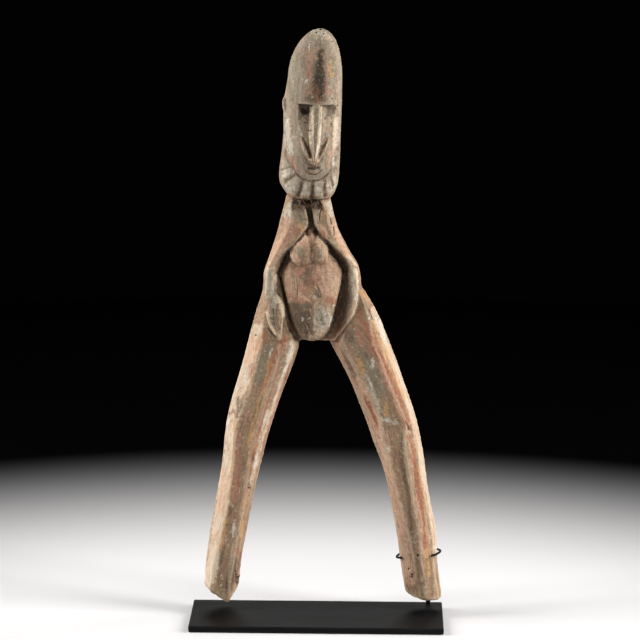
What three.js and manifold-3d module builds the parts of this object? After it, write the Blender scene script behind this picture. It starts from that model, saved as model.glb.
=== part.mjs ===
// A carved wooden initiation figure held by one leg in a wire clip on a small steel stand.
// Millimetres, +Z up, the figure faces -Y. The origin is the middle of the stand's underside.
import * as THREE from "three";
import { mergeVertices } from "three/addons/utils/BufferGeometryUtils.js";
import Module from "manifold-3d";

// Driving dimensions
const FIGURE_HEIGHT = 600;
const PLATE_LENGTH = 262;
const PLATE_DEPTH = 115.5;
const PLATE_THICKNESS = 6.35;
const PLATE_CHAMFER = 0.8;
const FOOT_CLEARANCE = 7.2; // air between the plate and the figure's lowest point
const ROD_DIAMETER = 4.8;
const ROD_FROM_END = 14.7; // from the rod's axis to the plate's right end
const ROD_FROM_BACK = 8.4; // and to its back edge
const SOCKET_FLOOR = 1.35; // steel left under the rod's blind socket
const ROD_ABOVE_WIRE = 4;
const WIRE_DIAMETER = 2.4;
const CLIP_HEIGHT = 51; // above the figure's lowest point, at the middle of the leg
const CLIP_TILT = 0.15; // the wire climbs this much for each millimetre towards the leg's outer side
const FIT_GAP = 0.3;
const SLIVER = 0.02;

// The figure is free form: every number below this line is a share of its height, in hundredths,
// measured from its lowest point and from the middle of its torso.
const HEAD_TURN = THREE.MathUtils.degToRad(8);
const HEAD_LEAN = THREE.MathUtils.degToRad(2.7);
const FACE_ORIGIN = [0.08, -0.4, 87.4]; // the middle of the brow

// [height, left edge, right edge, front, back]
const HEAD = [
  [71.2, -3.7, 3.3, -4.3, 2.9],
  [72.0, -4.55, 3.85, -4.8, 3.4],
  [73.6, -5.55, 4.4, -5.1, 3.8],
  [75.2, -5.75, 4.55, -5.2, 4.1],
  [78.0, -5.4, 4.7, -5.2, 4.25],
  [82.0, -5.0, 4.78, -5.3, 4.35],
  [86.8, -5.0, 4.95, -5.35, 4.4],
  [91.6, -4.25, 5.0, -5.0, 4.1],
];
const BACK_SLAB = [
  [46.2, -3.4, 4.6, -0.6, 2.7],
  [48.0, -7.6, 9.6, -0.7, 3.2],
  [52.0, -8.9, 10.4, -0.7, 3.3],
  [56.0, -8.1, 8.1, -0.7, 3.2],
  [58.4, -7.95, 7.95, -0.7, 3.1],
  [62.5, -6.5, 5.8, -0.7, 3.1],
  [66.7, -5.3, 3.9, -0.8, 3.1],
  [71.6, -4.1, 2.75, -0.8, 3.0],
];
const TORSO = [
  [46.25, -0.5, 0.6, -1.9, 0.4],
  [46.7, -1.5, 1.6, -2.5, 0.5],
  [47.5, -2.3, 2.45, -3.0, 0.6],
  [48.9, -3.0, 3.25, -3.4, 0.8],
  [51.4, -3.75, 4.0, -3.8, 0.8],
  [54.4, -4.5, 4.7, -3.95, 0.8],
  [56.6, -5.05, 5.2, -3.75, 0.8],
  [58.2, -5.22, 5.4, -3.5, 0.8],
  [59.4, -4.6, 5.1, -3.35, 0.8],
  [60.6, -3.95, 4.3, -3.25, 0.8],
  [61.7, -3.6, 3.3, -3.2, 0.8],
  [62.8, -2.95, 2.4, -3.1, 0.8],
  [64.2, -1.6, 1.45, -2.95, 0.6],
  [65.8, -0.5, 0.4, -2.5, 0.4],
  [67.6, -0.8, 0.4, -2.35, 0.4],
  [69.6, -1.3, 0.5, -2.5, 0.4],
  [71.6, -1.8, 1.2, -2.6, 0.4],
];

// Legs: [height, left edge, right edge, first ridge, second ridge, half depth], where a ridge is
// a share of the width from the left edge
const LEFT_LEG = [
  [-1.2, -18.7, -12.7, 0.2, 0.75, 2.9],
  [3.1, -18.5, -12.4, 0.2, 0.75, 3.0],
  [8.5, -18.05, -11.73, 0.26, 0.75, 3.1],
  [16.0, -16.85, -10.35, 0.33, 0.77, 3.2],
  [21.3, -15.94, -9.33, 0.32, 0.74, 3.25],
  [25.6, -15.33, -8.3, 0.29, 0.7, 3.3],
  [29.8, -14.92, -7.27, 0.21, 0.69, 3.35],
  [33.0, -14.45, -6.24, 0.27, 0.7, 3.45],
  [37.3, -13.36, -4.88, 0.31, 0.67, 3.45],
  [42.6, -11.82, -2.86, 0.26, 0.64, 3.5],
  [46.0, -10.95, -2.0, 0.25, 0.62, 3.5],
  [48.0, -10.45, -3.3, 0.27, 0.62, 3.45],
  [50.4, -9.8, -4.05, 0.28, 0.62, 3.3],
  [53.1, -8.95, -4.7, 0.3, 0.62, 2.9],
  [56.4, -8.0, -5.6, 0.3, 0.62, 2.0],
];
const RIGHT_LEG = [
  [-1.2, 16.9, 23.1, 0.4, 0.6, 3.1],
  [2.4, 16.5, 22.87, 0.4, 0.6, 3.15],
  [7.8, 15.6, 22.2, 0.37, 0.58, 3.2],
  [12.0, 15.1, 22.06, 0.3, 0.58, 3.25],
  [16.3, 14.27, 21.23, 0.24, 0.58, 3.3],
  [20.6, 13.36, 20.4, 0.2, 0.6, 3.3],
  [24.8, 12.2, 19.83, 0.2, 0.62, 3.35],
  [29.0, 10.6, 19.09, 0.22, 0.67, 3.4],
  [32.2, 9.5, 18.37, 0.28, 0.78, 3.45],
  [35.4, 8.2, 17.35, 0.31, 0.75, 3.5],
  [38.5, 7.0, 16.22, 0.27, 0.73, 3.5],
  [42.7, 4.95, 14.8, 0.2, 0.73, 3.5],
  [46.0, 3.2, 13.5, 0.18, 0.74, 3.5],
  [49.0, 3.6, 12.3, 0.3, 0.76, 3.4],
  [51.6, 4.1, 11.1, 0.42, 0.78, 3.1],
  [53.7, 4.6, 9.85, 0.5, 0.8, 2.6],
  [56.4, 5.0, 8.1, 0.5, 0.8, 1.8],
];
// The leg's corners after its two ridges: [share of the width, share of the half depth]
const LEG_BACK_CORNERS = [
  [0.9, -0.64],
  [1.0, 0.02],
  [0.87, 0.68],
  [0.55, 1.0],
  [0.22, 0.87],
  [0.04, 0.45],
];
const LEG_FIRST_RIDGE_DEPTH = -0.86;
const LEG_EDGE_DEPTH = -0.12;
const ROD_ACROSS = 20.7; // the rod's place, level with the outer half of the right leg

// Arms: [height, outer edge, front ridge, inner edge, front]
const LEFT_ARM = [
  [49.6, -7.6, -7.0, -4.3, -2.9],
  [51.3, -7.9, -7.13, -4.2, -3.4],
  [53.1, -8.05, -7.05, -4.78, -3.45],
  [54.8, -8.35, -6.85, -5.3, -3.5],
  [56.5, -8.24, -6.7, -5.65, -3.45],
  [58.1, -8.2, -6.62, -5.4, -3.4],
  [59.7, -7.66, -6.3, -4.6, -3.35],
  [61.4, -7.07, -5.1, -3.75, -3.35],
  [62.9, -6.55, -3.5, -2.9, -3.4],
  [64.4, -6.12, -2.15, -1.5, -3.45],
  [65.6, -5.78, -1.24, -0.5, -3.5],
  [66.8, -5.52, -0.7, -0.25, -3.5],
  [68.4, -5.1, -0.88, -0.4, -3.5],
  [70.0, -4.7, -1.3, -0.8, -3.4],
  [71.4, -4.35, -1.5, -1.0, -3.2],
];
const RIGHT_ARM = [
  [46.4, 4.3, 3.8, 2.0, -2.4],
  [47.5, 5.3, 4.7, 2.7, -2.75],
  [49.0, 6.3, 5.8, 3.3, -3.1],
  [50.4, 7.1, 6.6, 3.65, -3.3],
  [51.6, 7.78, 6.95, 4.0, -3.45],
  [53.7, 8.3, 7.27, 4.6, -3.55],
  [55.8, 8.5, 7.05, 5.0, -3.5],
  [58.0, 8.2, 6.85, 5.4, -3.45],
  [59.1, 7.95, 6.8, 5.3, -3.4],
  [60.1, 7.4, 6.45, 4.7, -3.4],
  [61.0, 6.85, 5.75, 4.0, -3.4],
  [61.9, 6.3, 4.95, 3.2, -3.35],
  [63.6, 5.4, 3.25, 1.95, -3.4],
  [65.2, 4.6, 1.67, 0.7, -3.45],
  [66.8, 4.08, 0.5, 0.12, -3.5],
  [68.4, 3.66, 0.28, -0.1, -3.5],
  [70.0, 3.28, -0.1, -0.5, -3.4],
  [71.4, 2.95, -0.3, -0.7, -3.2],
];
// The left hand lies flat on the thigh: [height, outer edge, inner edge, front]
const LEFT_HAND = [
  [46.3, -5.55, -5.4, -3.6],
  [47.1, -6.0, -5.0, -3.85],
  [48.5, -7.05, -4.85, -3.95],
  [50.0, -7.7, -4.75, -3.95],
  [51.0, -7.85, -4.7, -3.85],
  [53.2, -7.5, -5.2, -3.55],
  [54.9, -7.1, -6.35, -2.9],
];

// Face carving in the face's own frame: across, depth (negative is forward), height above the brow
const PANEL_LEFT = -3.0;
const PANEL_RIGHT = 4.1;
const PANEL_PROFILE = [
  [-9, 0],
  [-3.3, 0],
  [-3.7, -2.0],
  [-4.35, -4.8],
  [-5.05, -8.2],
  [-5.5, -10.2],
  [-9, -10.2],
];
// [height, half width at the panel, half width at the ridge, front]
const NOSE = [
  [-10.15, 0.28, 0.1, -5.7],
  [-9.4, 0.5, 0.18, -6.15],
  [-8.0, 0.75, 0.24, -6.15],
  [-6.3, 0.92, 0.32, -5.95],
  [-3.9, 1.02, 0.42, -5.6],
  [0.2, 1.05, 0.46, -4.95],
];
// [height, distance from the nose line, half width, front]
const WING = [
  [-10.05, 0.3, 0.3, -5.65],
  [-9.4, 0.7, 0.34, -5.85],
  [-8.4, 1.28, 0.36, -5.75],
  [-7.1, 1.88, 0.34, -5.4],
  [-5.75, 2.35, 0.2, -4.85],
];
const MOUTH_HALF_WIDTH = 1.5;
const MOUTH_CORNER_HEIGHT = -11.0;
const MOUTH_DROP = 0.95;
const MOUTH_GROOVE = 0.42;
const MOUTH_DEPTH = -5.05;
const MOUTH_CURVE = 0.22; // how much further back its corners are
// The wedges cut between the beard's locks: [inner end across, its height, outer end, its height, half width]
const BEARD_WEDGES = [
  [-3.5, 76.9, -5.3, 76.05, 0.32],
  [-2.5, 75.45, -4.75, 74.0, 0.42],
  [-1.5, 74.35, -2.4, 71.4, 0.52],
  [0.1, 74.0, -0.1, 71.3, 0.52],
  [2.05, 74.5, 2.2, 71.4, 0.42],
  [3.0, 75.6, 3.65, 73.1, 0.36],
  [3.6, 76.95, 4.45, 75.9, 0.3],
];
const WEDGE_DEPTH = 0.34;
const WEDGE_ABOVE = 0.6; // how far a cutter stands out of the surface
const WEDGE_TAPER = [0.55, 1.2]; // its width at the inner and the outer end
// The line between chin and beard: [across, height]
const CHIN_LINE = [
  [-3.3, 77.2],
  [-2.9, 75.95],
  [-1.4, 74.5],
  [0.2, 74.25],
  [2.0, 74.9],
  [3.25, 76.4],
];
const CHIN_LINE_RADIUS = 0.24;
// The stumps of the ears: [side, how far each stands out]
const EARS = [
  [-1, 0.75],
  [1, 0.3],
];
const EAR_PLACE = [4.62, 0.1, -0.45];
const EAR_HALF_DEPTH = 0.9;
const EAR_HALF_HEIGHT = 1.55;

// Where a nose's or a wing's side meets its ridge, as a share of how far it stands out
const NOSE_SIDE = 0.82;
const WING_SIDE = 0.88;
const FACE_BURIED = -3.1; // how deep they are rooted in the panel

// Carving on the torso
const TORSO_SQUARENESS = 3;
// The hanging breasts: [across, lowest, highest, half width, half depth]
const BREASTS = [
  [-1.74, 59.45, 65.4, 2.32, 1.3],
  [1.45, 59.75, 65.2, 1.68, 1.25],
];
const BREAST_DEPTH = -3.05;
const NAVEL = [0.09, -3.85, 54.2];
const NAVEL_RADIUS = 0.42;
const NAVEL_RIM = 0.17;
const SLIT = [
  [0.15, -3.9, 48.4],
  [0.15, -3.15, 47.2],
  [0.15, -2.2, 45.6],
];
const SLIT_RADIUS = 0.3;

const RING_SIDES = 30;
const FULL_HEIGHT = 100; // in shares
const share = FIGURE_HEIGHT / FULL_HEIGHT;

const wasm = await Module();
wasm.setup();

// Turns a closed geometry into a solid that can be joined and cut
function solidOf(geometry) {
  geometry.deleteAttribute("normal");
  geometry.deleteAttribute("uv");
  const merged = mergeVertices(geometry, 1e-4);
  const corners = merged.index.array;
  const triVerts = [];
  for (let i = 0; i < corners.length; i += 3) {
    const [a, b, c] = corners.slice(i, i + 3);
    if (a !== b && b !== c && c !== a) triVerts.push(a, b, c);
  }
  return new wasm.Manifold(
    new wasm.Mesh({
      numProp: 3,
      vertProperties: new Float32Array(merged.attributes.position.array),
      triVerts: new Uint32Array(triVerts),
    }),
  );
}

// Edges shorter than the tolerance are taken out, as joining leaves slivers
function geometryOf(solid) {
  const mesh = solid.simplify(SLIVER).getMesh();
  const geometry = new THREE.BufferGeometry();
  geometry.setAttribute("position", new THREE.BufferAttribute(mesh.vertProperties, 3));
  geometry.setIndex(new THREE.BufferAttribute(mesh.triVerts, 1));
  geometry.computeVertexNormals();
  return geometry;
}

function joined(solids) {
  return solids.reduce((whole, piece) => whole.add(piece));
}

// A closed body through rings of points that run anticlockwise seen from above, lowest ring first
function loft(rings) {
  const sides = rings[0].length;
  const positions = rings.flat(2);
  const index = [];
  for (let i = 0; i + 1 < rings.length; i++) {
    for (let j = 0; j < sides; j++) {
      const a = i * sides + j;
      const b = i * sides + ((j + 1) % sides);
      index.push(a, b, b + sides, a, b + sides, a + sides);
    }
  }
  [rings[0], rings[rings.length - 1]].forEach((ring, end) => {
    const middle = [0, 1, 2].map((axis) => ring.reduce((sum, p) => sum + p[axis], 0) / sides);
    const centre = positions.length / 3;
    positions.push(...middle);
    const start = end ? (rings.length - 1) * sides : 0;
    for (let j = 0; j < sides; j++) {
      const a = start + j;
      const b = start + ((j + 1) % sides);
      index.push(centre, end ? a : b, end ? b : a);
    }
  });
  const geometry = new THREE.BufferGeometry();
  geometry.setAttribute("position", new THREE.Float32BufferAttribute(positions, 3));
  geometry.setIndex(index);
  return geometry;
}

function catmullRom(before, from, to, after, t) {
  const start = (to - before) / 2;
  const end = (after - from) / 2;
  const rise = to - from;
  return ((start + end - 2 * rise) * t + 3 * rise - 2 * start - end) * t * t + start * t + from;
}

// The row at a place along a table of rows, where place 1.5 is halfway between rows 1 and 2
function rowAt(rows, place) {
  const last = rows.length - 1;
  const i = Math.min(Math.floor(place), last - 1);
  const before = rows[Math.max(i - 1, 0)];
  const after = rows[Math.min(i + 2, last)];
  return rows[i].map((from, k) => catmullRom(before[k], from, rows[i + 1][k], after[k], place - i));
}

function refined(rows, perGap) {
  const count = (rows.length - 1) * perGap;
  return Array.from({ length: count + 1 }, (_, i) => rowAt(rows, i / perGap));
}

// The row at one height of a table whose heights rise
function rowAtHeight(rows, height) {
  const next = rows.findIndex((row) => row[0] >= height);
  const i = Math.max(next - 1, 0);
  return rowAt(rows, i + (height - rows[i][0]) / (rows[i + 1][0] - rows[i][0]));
}

function scaled(point) {
  return point.map((value) => value * share);
}

// A level oval ring; a power above 2 squares it off
function ovalRing([height, left, right, front, back], power = 2.2, sides = RING_SIDES) {
  const round = (value) => Math.sign(value) * Math.abs(value) ** (2 / power);
  return Array.from({ length: sides }, (_, i) => {
    const angle = (2 * Math.PI * (i + 0.5)) / sides;
    const x = (left + right) / 2 + ((right - left) / 2) * round(Math.cos(angle));
    const y = (front + back) / 2 + ((back - front) / 2) * round(Math.sin(angle));
    return scaled([x, y, height]);
  });
}

function ovalBody(rows, perGap, power, sides) {
  return solidOf(loft(refined(rows, perGap).map((row) => ovalRing(row, power, sides))));
}

// The crown closes the skull as a quarter of an ellipse, leaning to one side
function crownRows() {
  const steps = 7;
  const lean = 0.85;
  const [start, left, right, front, back] = HEAD[HEAD.length - 1];
  const middleY = (front + back) / 2;
  return Array.from({ length: steps }, (_, i) => {
    const angle = (Math.PI / 2) * ((i + 1) / (steps + 0.35));
    const x = (left + right) / 2 + lean * Math.sin(angle) ** 2;
    const width = ((right - left) / 2) * Math.cos(angle);
    const depth = ((back - front) / 2) * Math.cos(angle);
    const height = start + (FULL_HEIGHT - start) * Math.sin(angle);
    return [height, x - width, x + width, middleY - depth, middleY + depth];
  });
}

function skull() {
  const rings = [...refined(HEAD, 2), ...crownRows()].map((row) => ovalRing(row, 2.15));
  return solidOf(loft(rings));
}

// Places a solid made in the face's frame onto the turned and leaning head
function onFace(solid) {
  const matrix = new THREE.Matrix4()
    .makeTranslation(...scaled(FACE_ORIGIN))
    .multiply(new THREE.Matrix4().makeRotationY(HEAD_LEAN))
    .multiply(new THREE.Matrix4().makeRotationZ(HEAD_TURN));
  return solid.transform(matrix.toArray());
}

// The flat panel cut back under the brow, deepest at the eyes and level with the skin at the mouth
function facePanel() {
  const outline = new THREE.Shape(PANEL_PROFILE.map((p) => new THREE.Vector2(...scaled(p))));
  const width = (PANEL_RIGHT - PANEL_LEFT) * share;
  const geometry = new THREE.ExtrudeGeometry(outline, { depth: width, bevelEnabled: false });
  // The profile is drawn as depth and height, then its run is laid across the face
  geometry.applyMatrix4(new THREE.Matrix4().set(0, 0, 1, 0, 1, 0, 0, 0, 0, 1, 0, 0, 0, 0, 0, 1));
  geometry.translate(PANEL_LEFT * share, 0, 0);
  return onFace(solidOf(geometry));
}

function nose() {
  const rings = refined(NOSE, 2).map(([height, base, ridge, front]) =>
    [
      [base, FACE_BURIED, height],
      [-base, FACE_BURIED, height],
      [-base, front * NOSE_SIDE, height],
      [-ridge, front, height],
      [ridge, front, height],
      [base, front * NOSE_SIDE, height],
    ].map(scaled),
  );
  return onFace(solidOf(loft(rings)));
}

function noseWing(side) {
  const rings = refined(WING, 2).map(([height, away, half, front]) =>
    [
      [side * away + half, FACE_BURIED, height],
      [side * away - half, FACE_BURIED, height],
      [side * away - half, front * WING_SIDE, height],
      [side * away, front, height],
      [side * away + half, front * WING_SIDE, height],
    ].map(scaled),
  );
  return onFace(solidOf(loft(rings)));
}

// A bar along a smooth run of points, with as many sides as asked for
function bar(points, radius, sides, steps) {
  const section = new THREE.Shape(
    Array.from({ length: sides }, (_, i) => {
      const angle = (2 * Math.PI * i) / sides;
      return new THREE.Vector2(Math.cos(angle), Math.sin(angle)).multiplyScalar(radius);
    }),
  );
  const extrudePath = new THREE.CatmullRomCurve3(points);
  return solidOf(new THREE.ExtrudeGeometry(section, { steps, bevelEnabled: false, extrudePath }));
}

// A cutter of diamond section that follows the carved surface
function groove(points, radius) {
  const route = points.map((point) => new THREE.Vector3(...scaled(point)));
  return bar(route, radius * share, 4, 4 * (points.length - 1));
}

function mouth() {
  const points = [-1, -0.5, 0, 0.5, 1].map((t) => [
    t * MOUTH_HALF_WIDTH,
    MOUTH_DEPTH + MOUTH_CURVE * t * t,
    MOUTH_CORNER_HEIGHT - MOUTH_DROP * (1 - t * t),
  ]);
  return onFace(groove(points, MOUTH_GROOVE));
}

// The depth of the head's front surface at a point of the front view
function headFront(x, height) {
  const [, left, right, front, back] = rowAtHeight(HEAD, height);
  const across = Math.min(Math.abs((x - (left + right) / 2) / ((right - left) / 2)), 0.98);
  return (front + back) / 2 + ((front - back) / 2) * (1 - across ** 2.15) ** (1 / 2.15);
}

// A point of the head's front surface, and the direction straight out of it
function headPoint(x, height) {
  const above = Math.max(height, HEAD[0][0]);
  return new THREE.Vector3(x, headFront(x, above), height);
}

function headNormal(x, height) {
  const step = 0.2;
  const across = headPoint(x + step, height).sub(headPoint(x - step, height));
  const upward = headPoint(x, height + step).sub(headPoint(x, height - step));
  return across.cross(upward).normalize();
}

// Wedges that narrow towards the chin and part the beard's locks
function beardWedges() {
  const steps = 5;
  const [narrow, broad] = WEDGE_TAPER;
  return BEARD_WEDGES.map(([innerX, innerHeight, outerX, outerHeight, halfWidth]) => {
    const placeAt = (t) => [innerX + (outerX - innerX) * t, innerHeight + (outerHeight - innerHeight) * t];
    const run = headPoint(...placeAt(1)).sub(headPoint(...placeAt(0))).normalize();
    const rings = Array.from({ length: steps + 1 }, (_, i) => {
      const t = i / steps;
      const middle = headPoint(...placeAt(t));
      const out = headNormal(...placeAt(t));
      const beside = out.clone().cross(run).normalize();
      const wide = halfWidth * (narrow + (broad - narrow) * t) * (1 + WEDGE_ABOVE / WEDGE_DEPTH);
      const top = middle.clone().addScaledVector(out, WEDGE_ABOVE);
      return [
        top.clone().addScaledVector(beside, -wide),
        middle.clone().addScaledVector(out, -WEDGE_DEPTH),
        top.clone().addScaledVector(beside, wide),
      ].map((point) => scaled(point.toArray()));
    });
    return solidOf(loft(rings));
  });
}

function chinLine() {
  return groove(CHIN_LINE.map(([x, height]) => [x, headFront(x, height), height]), CHIN_LINE_RADIUS);
}

// The stump of an ear: left as a broken lug on one side, worn nearly flat on the other
function earStump([side, reach]) {
  const geometry = new THREE.SphereGeometry(1, 10, 8);
  const [across, depth, height] = EAR_PLACE;
  geometry.scale(...scaled([reach, EAR_HALF_DEPTH, EAR_HALF_HEIGHT]));
  geometry.translate(...scaled([side * across, depth, height]));
  return onFace(solidOf(geometry));
}

function head() {
  const carved = skull().subtract(facePanel());
  const parts = [carved, nose(), noseWing(-1), noseWing(1), ...EARS.map(earStump)];
  return joined(parts).subtract(joined([mouth(), chinLine(), ...beardWedges()]));
}

// A leg's faceted ring, with sharp ridges left by the adze
function legRing([height, left, right, first, second, depth]) {
  const corners = [[0, LEG_EDGE_DEPTH], [first, LEG_FIRST_RIDGE_DEPTH], [second, -1], ...LEG_BACK_CORNERS];
  return corners.map(([across, deep]) => scaled([left + (right - left) * across, deep * depth, height]));
}

function leg(rows) {
  return solidOf(loft(refined(rows, 2).map(legRing)));
}

// A block that takes away all that is below a slanting cut through a foot. The cut runs from one
// point of the front view to the next, and its back edge is higher than its front one by twice the rise.
function footCut([x1, z1], [x2, z2], rise) {
  const deep = 6;
  const floor = -6;
  const slope = (z2 - z1) / (x2 - x1);
  const ring = (heightAt) =>
    [
      [x1, -deep],
      [x2, -deep],
      [x2, deep],
      [x1, deep],
    ].map(([x, y]) => scaled([x, y, heightAt(x, y)]));
  const cut = (x, y) => z1 + slope * (x - x1) + rise * Math.sign(y);
  return solidOf(loft([ring(() => floor), ring(cut)]));
}

// The left foot has rotted to a point; the right one is sawn off nearly level
function leftFootCuts() {
  return joined([
    footCut([-19.6, 4.6], [-18.3, 2.8], 0.3),
    footCut([-18.31, 2.8], [-14.3, 0.22], 0.45),
    footCut([-14.31, 0.25], [-11.6, 4], 0.5),
  ]);
}

function rightFootCuts() {
  return joined([
    footCut([15.5, 2.4], [18.3, 1.1], 0.2),
    footCut([18.29, 1.1], [23.6, 0.65], 0.15),
  ]);
}

// An arm in section: outer face, front ridge, and an inner face that slopes into the groove
function arm(rows, side) {
  const rings = refined(rows, 2).map(([height, outer, ridge, inner, front]) => {
    const shoulder = outer + (ridge - outer) * 0.35;
    const corners = [
      [outer, 0.6],
      [outer, front * 0.45],
      [shoulder, front * 0.86],
      [ridge, front],
      [inner, -0.8],
      [inner, 1.4],
      [shoulder, 2.4],
    ].map(([x, y]) => scaled([x, y, height]));
    return side < 0 ? corners : corners.reverse();
  });
  return solidOf(loft(rings));
}

function leftHand() {
  const rings = refined(LEFT_HAND, 2).map(([height, outer, inner, front]) =>
    [
      [outer, -2.2],
      [outer + (inner - outer) * 0.12, front * 0.94],
      [outer + (inner - outer) * 0.5, front],
      [inner + (outer - inner) * 0.1, front * 0.9],
      [inner, -2.2],
    ].map(([x, y]) => scaled([x, y, height])),
  );
  return solidOf(loft(rings));
}

// A hanging breast: a turned drop, fullest near its lower end
function breast([across, lowest, highest, halfWidth, halfDepth]) {
  const steps = 8;
  const tall = highest - lowest;
  const profile = Array.from({ length: steps + 1 }, (_, i) => {
    const angle = (Math.PI * i) / steps;
    const up = (1 - Math.cos(angle)) / 2;
    const radius = i % steps ? Math.sin(angle) * (1.12 - 0.62 * up) : 0;
    return new THREE.Vector2(radius, up * tall);
  });
  const geometry = new THREE.LatheGeometry(profile, 14);
  geometry.rotateX(Math.PI / 2);
  geometry.scale(halfWidth, halfDepth, 1);
  geometry.translate(across, BREAST_DEPTH, lowest);
  geometry.scale(share, share, share);
  return solidOf(geometry);
}

function navel() {
  const geometry = new THREE.TorusGeometry(NAVEL_RADIUS, NAVEL_RIM, 6, 12);
  geometry.rotateX(Math.PI / 2);
  geometry.translate(...NAVEL);
  geometry.scale(share, share, share);
  return solidOf(geometry);
}

function torso() {
  const belly = ovalBody(TORSO, 2, TORSO_SQUARENESS, 24);
  // The slit at the torso's lower end
  const slit = groove(SLIT, SLIT_RADIUS);
  return joined([belly, ...BREASTS.map(breast), navel()]).subtract(slit);
}

function carvedFigure() {
  const body = ovalBody(BACK_SLAB, 1, 3.2, 20);
  const limbs = [arm(LEFT_ARM, -1), arm(RIGHT_ARM, 1), leftHand()];
  const leftLeg = leg(LEFT_LEG).subtract(leftFootCuts());
  const rightLeg = leg(RIGHT_LEG).subtract(rightFootCuts());
  return joined([head(), body, torso(), ...limbs, leftLeg, rightLeg]);
}

// The depth of the right leg's back at a place across it
function legBack(x, height) {
  const [, ...back] = legRing(rowAtHeight(RIGHT_LEG, height / share)).slice(3);
  const next = back.findIndex((corner) => corner[0] <= x);
  const [from, to] = [back[next - 1], back[next]];
  return from[1] + ((to[1] - from[1]) * (x - from[0])) / (to[0] - from[0]);
}

// The rod stands straight up behind the leg, close to it all the way from the plate to the clip
function rodPlace() {
  const x = ROD_ACROSS * share;
  const steps = 8;
  const depths = Array.from({ length: steps + 1 }, (_, i) => legBack(x, (CLIP_HEIGHT * i) / steps));
  return new THREE.Vector2(x, Math.max(...depths) + FIT_GAP + ROD_DIAMETER / 2);
}

// The wire's route: from one front facet, round the back of the leg, to the other. Each place on it
// lies off a corner of the leg by the slack, in wire radii.
function clipRoute() {
  const ring = legRing(rowAtHeight(RIGHT_LEG, CLIP_HEIGHT / share)).map(([x, y]) => new THREE.Vector2(x, y));
  const [edge, firstRidge, secondRidge, outerFront, outerEdge, outerBack, back, innerBack, innerSide] = ring;
  const middle = edge.clone().lerp(outerEdge, 0.5);
  const off = (corner, slack) => {
    const out = corner.clone().sub(middle);
    return out.setLength(out.length() + (WIRE_DIAMETER / 2) * slack).add(middle);
  };
  const rod = rodPlace();
  const route = [
    off(edge.clone().lerp(firstRidge, 0.3), 1.7),
    off(edge, 1.7),
    off(innerSide, 1.7),
    off(innerBack, 1.7),
    off(back, 1.5),
    new THREE.Vector2(rod.x, rod.y - ROD_DIAMETER / 2 + WIRE_DIAMETER / 2),
    off(outerBack, 2.2),
    off(outerEdge, 2.6),
    off(outerFront, 2),
    off(outerFront.clone().lerp(secondRidge, 0.3), 1.7),
  ];
  return route.map(({ x, y }) => new THREE.Vector3(x, y, CLIP_HEIGHT + CLIP_TILT * (x - middle.x)));
}

function clipWire(radius) {
  return bar(clipRoute(), radius, 10, 44);
}

function cylinder(diameter, bottom, top, place) {
  const geometry = new THREE.CylinderGeometry(diameter / 2, diameter / 2, top - bottom, 16);
  geometry.rotateX(Math.PI / 2);
  geometry.translate(place.x, place.y, (top + bottom) / 2);
  return solidOf(geometry);
}

// The plate is set under the figure so that the rod stands in its back right corner
function figureOnPlate() {
  const rod = rodPlace();
  const x = PLATE_LENGTH / 2 - ROD_FROM_END - rod.x;
  const y = PLATE_DEPTH / 2 - ROD_FROM_BACK - rod.y;
  return new THREE.Vector3(x, y, PLATE_THICKNESS + FOOT_CLEARANCE);
}

// The rod stands in its socket and is notched where the wire is brazed to it
function supportRod() {
  const place = rodPlace();
  const bottom = SOCKET_FLOOR + FIT_GAP - figureOnPlate().z;
  const top = CLIP_HEIGHT + ROD_ABOVE_WIRE;
  return cylinder(ROD_DIAMETER, bottom, top, place).subtract(clipWire(WIRE_DIAMETER / 2 + FIT_GAP));
}

function basePlate() {
  const [x, y] = [PLATE_LENGTH / 2, PLATE_DEPTH / 2];
  const outline = new THREE.Shape([
    new THREE.Vector2(-x, -y),
    new THREE.Vector2(x, -y),
    new THREE.Vector2(x, y),
    new THREE.Vector2(-x, y),
  ]);
  const geometry = new THREE.ExtrudeGeometry(outline, {
    depth: PLATE_THICKNESS - 2 * PLATE_CHAMFER,
    bevelThickness: PLATE_CHAMFER,
    bevelSize: PLATE_CHAMFER,
    bevelOffset: -PLATE_CHAMFER,
    bevelSegments: 1,
  });
  geometry.translate(0, 0, PLATE_CHAMFER);
  const place = new THREE.Vector2(x - ROD_FROM_END, y - ROD_FROM_BACK);
  const socket = cylinder(ROD_DIAMETER + 2 * FIT_GAP, SOCKET_FLOOR, 2 * PLATE_THICKNESS, place);
  return solidOf(geometry).subtract(socket);
}

const wood = new THREE.MeshStandardMaterial({ color: 0xa08a72, roughness: 0.9, metalness: 0 });
const blackSteel = new THREE.MeshStandardMaterial({ color: 0x1a1a1b, roughness: 0.5, metalness: 0.4 });

function piece(name, solid, material) {
  const mesh = new THREE.Mesh(geometryOf(solid), material);
  mesh.name = name;
  return mesh;
}

// What the plate carries, in the figure's frame
const held = new THREE.Group();
held.position.copy(figureOnPlate());
held.add(piece("carved_figure", carvedFigure(), wood));
held.add(piece("leg_clip", clipWire(WIRE_DIAMETER / 2), blackSteel));
held.add(piece("support_rod", supportRod(), blackSteel));

const standingFigure = new THREE.Group();
standingFigure.add(held, piece("base_plate", basePlate(), blackSteel));
export default standingFigure;
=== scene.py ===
"""The looks of a carved wooden initiation figure held by one leg on a small black steel stand.

The figure is cut finer from its solid, then gets the marks of the adze and of age, worn pigments, and
painted light and shade.
A mark read from the photograph is one place or a line of places, each written (across, down, reach) in
pixels of the 640 by 640 frame.
"""
import math

import bmesh
import bpy
import numpy as np
from mathutils import Matrix, Vector, noise
from mathutils.bvhtree import BVHTree


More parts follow.
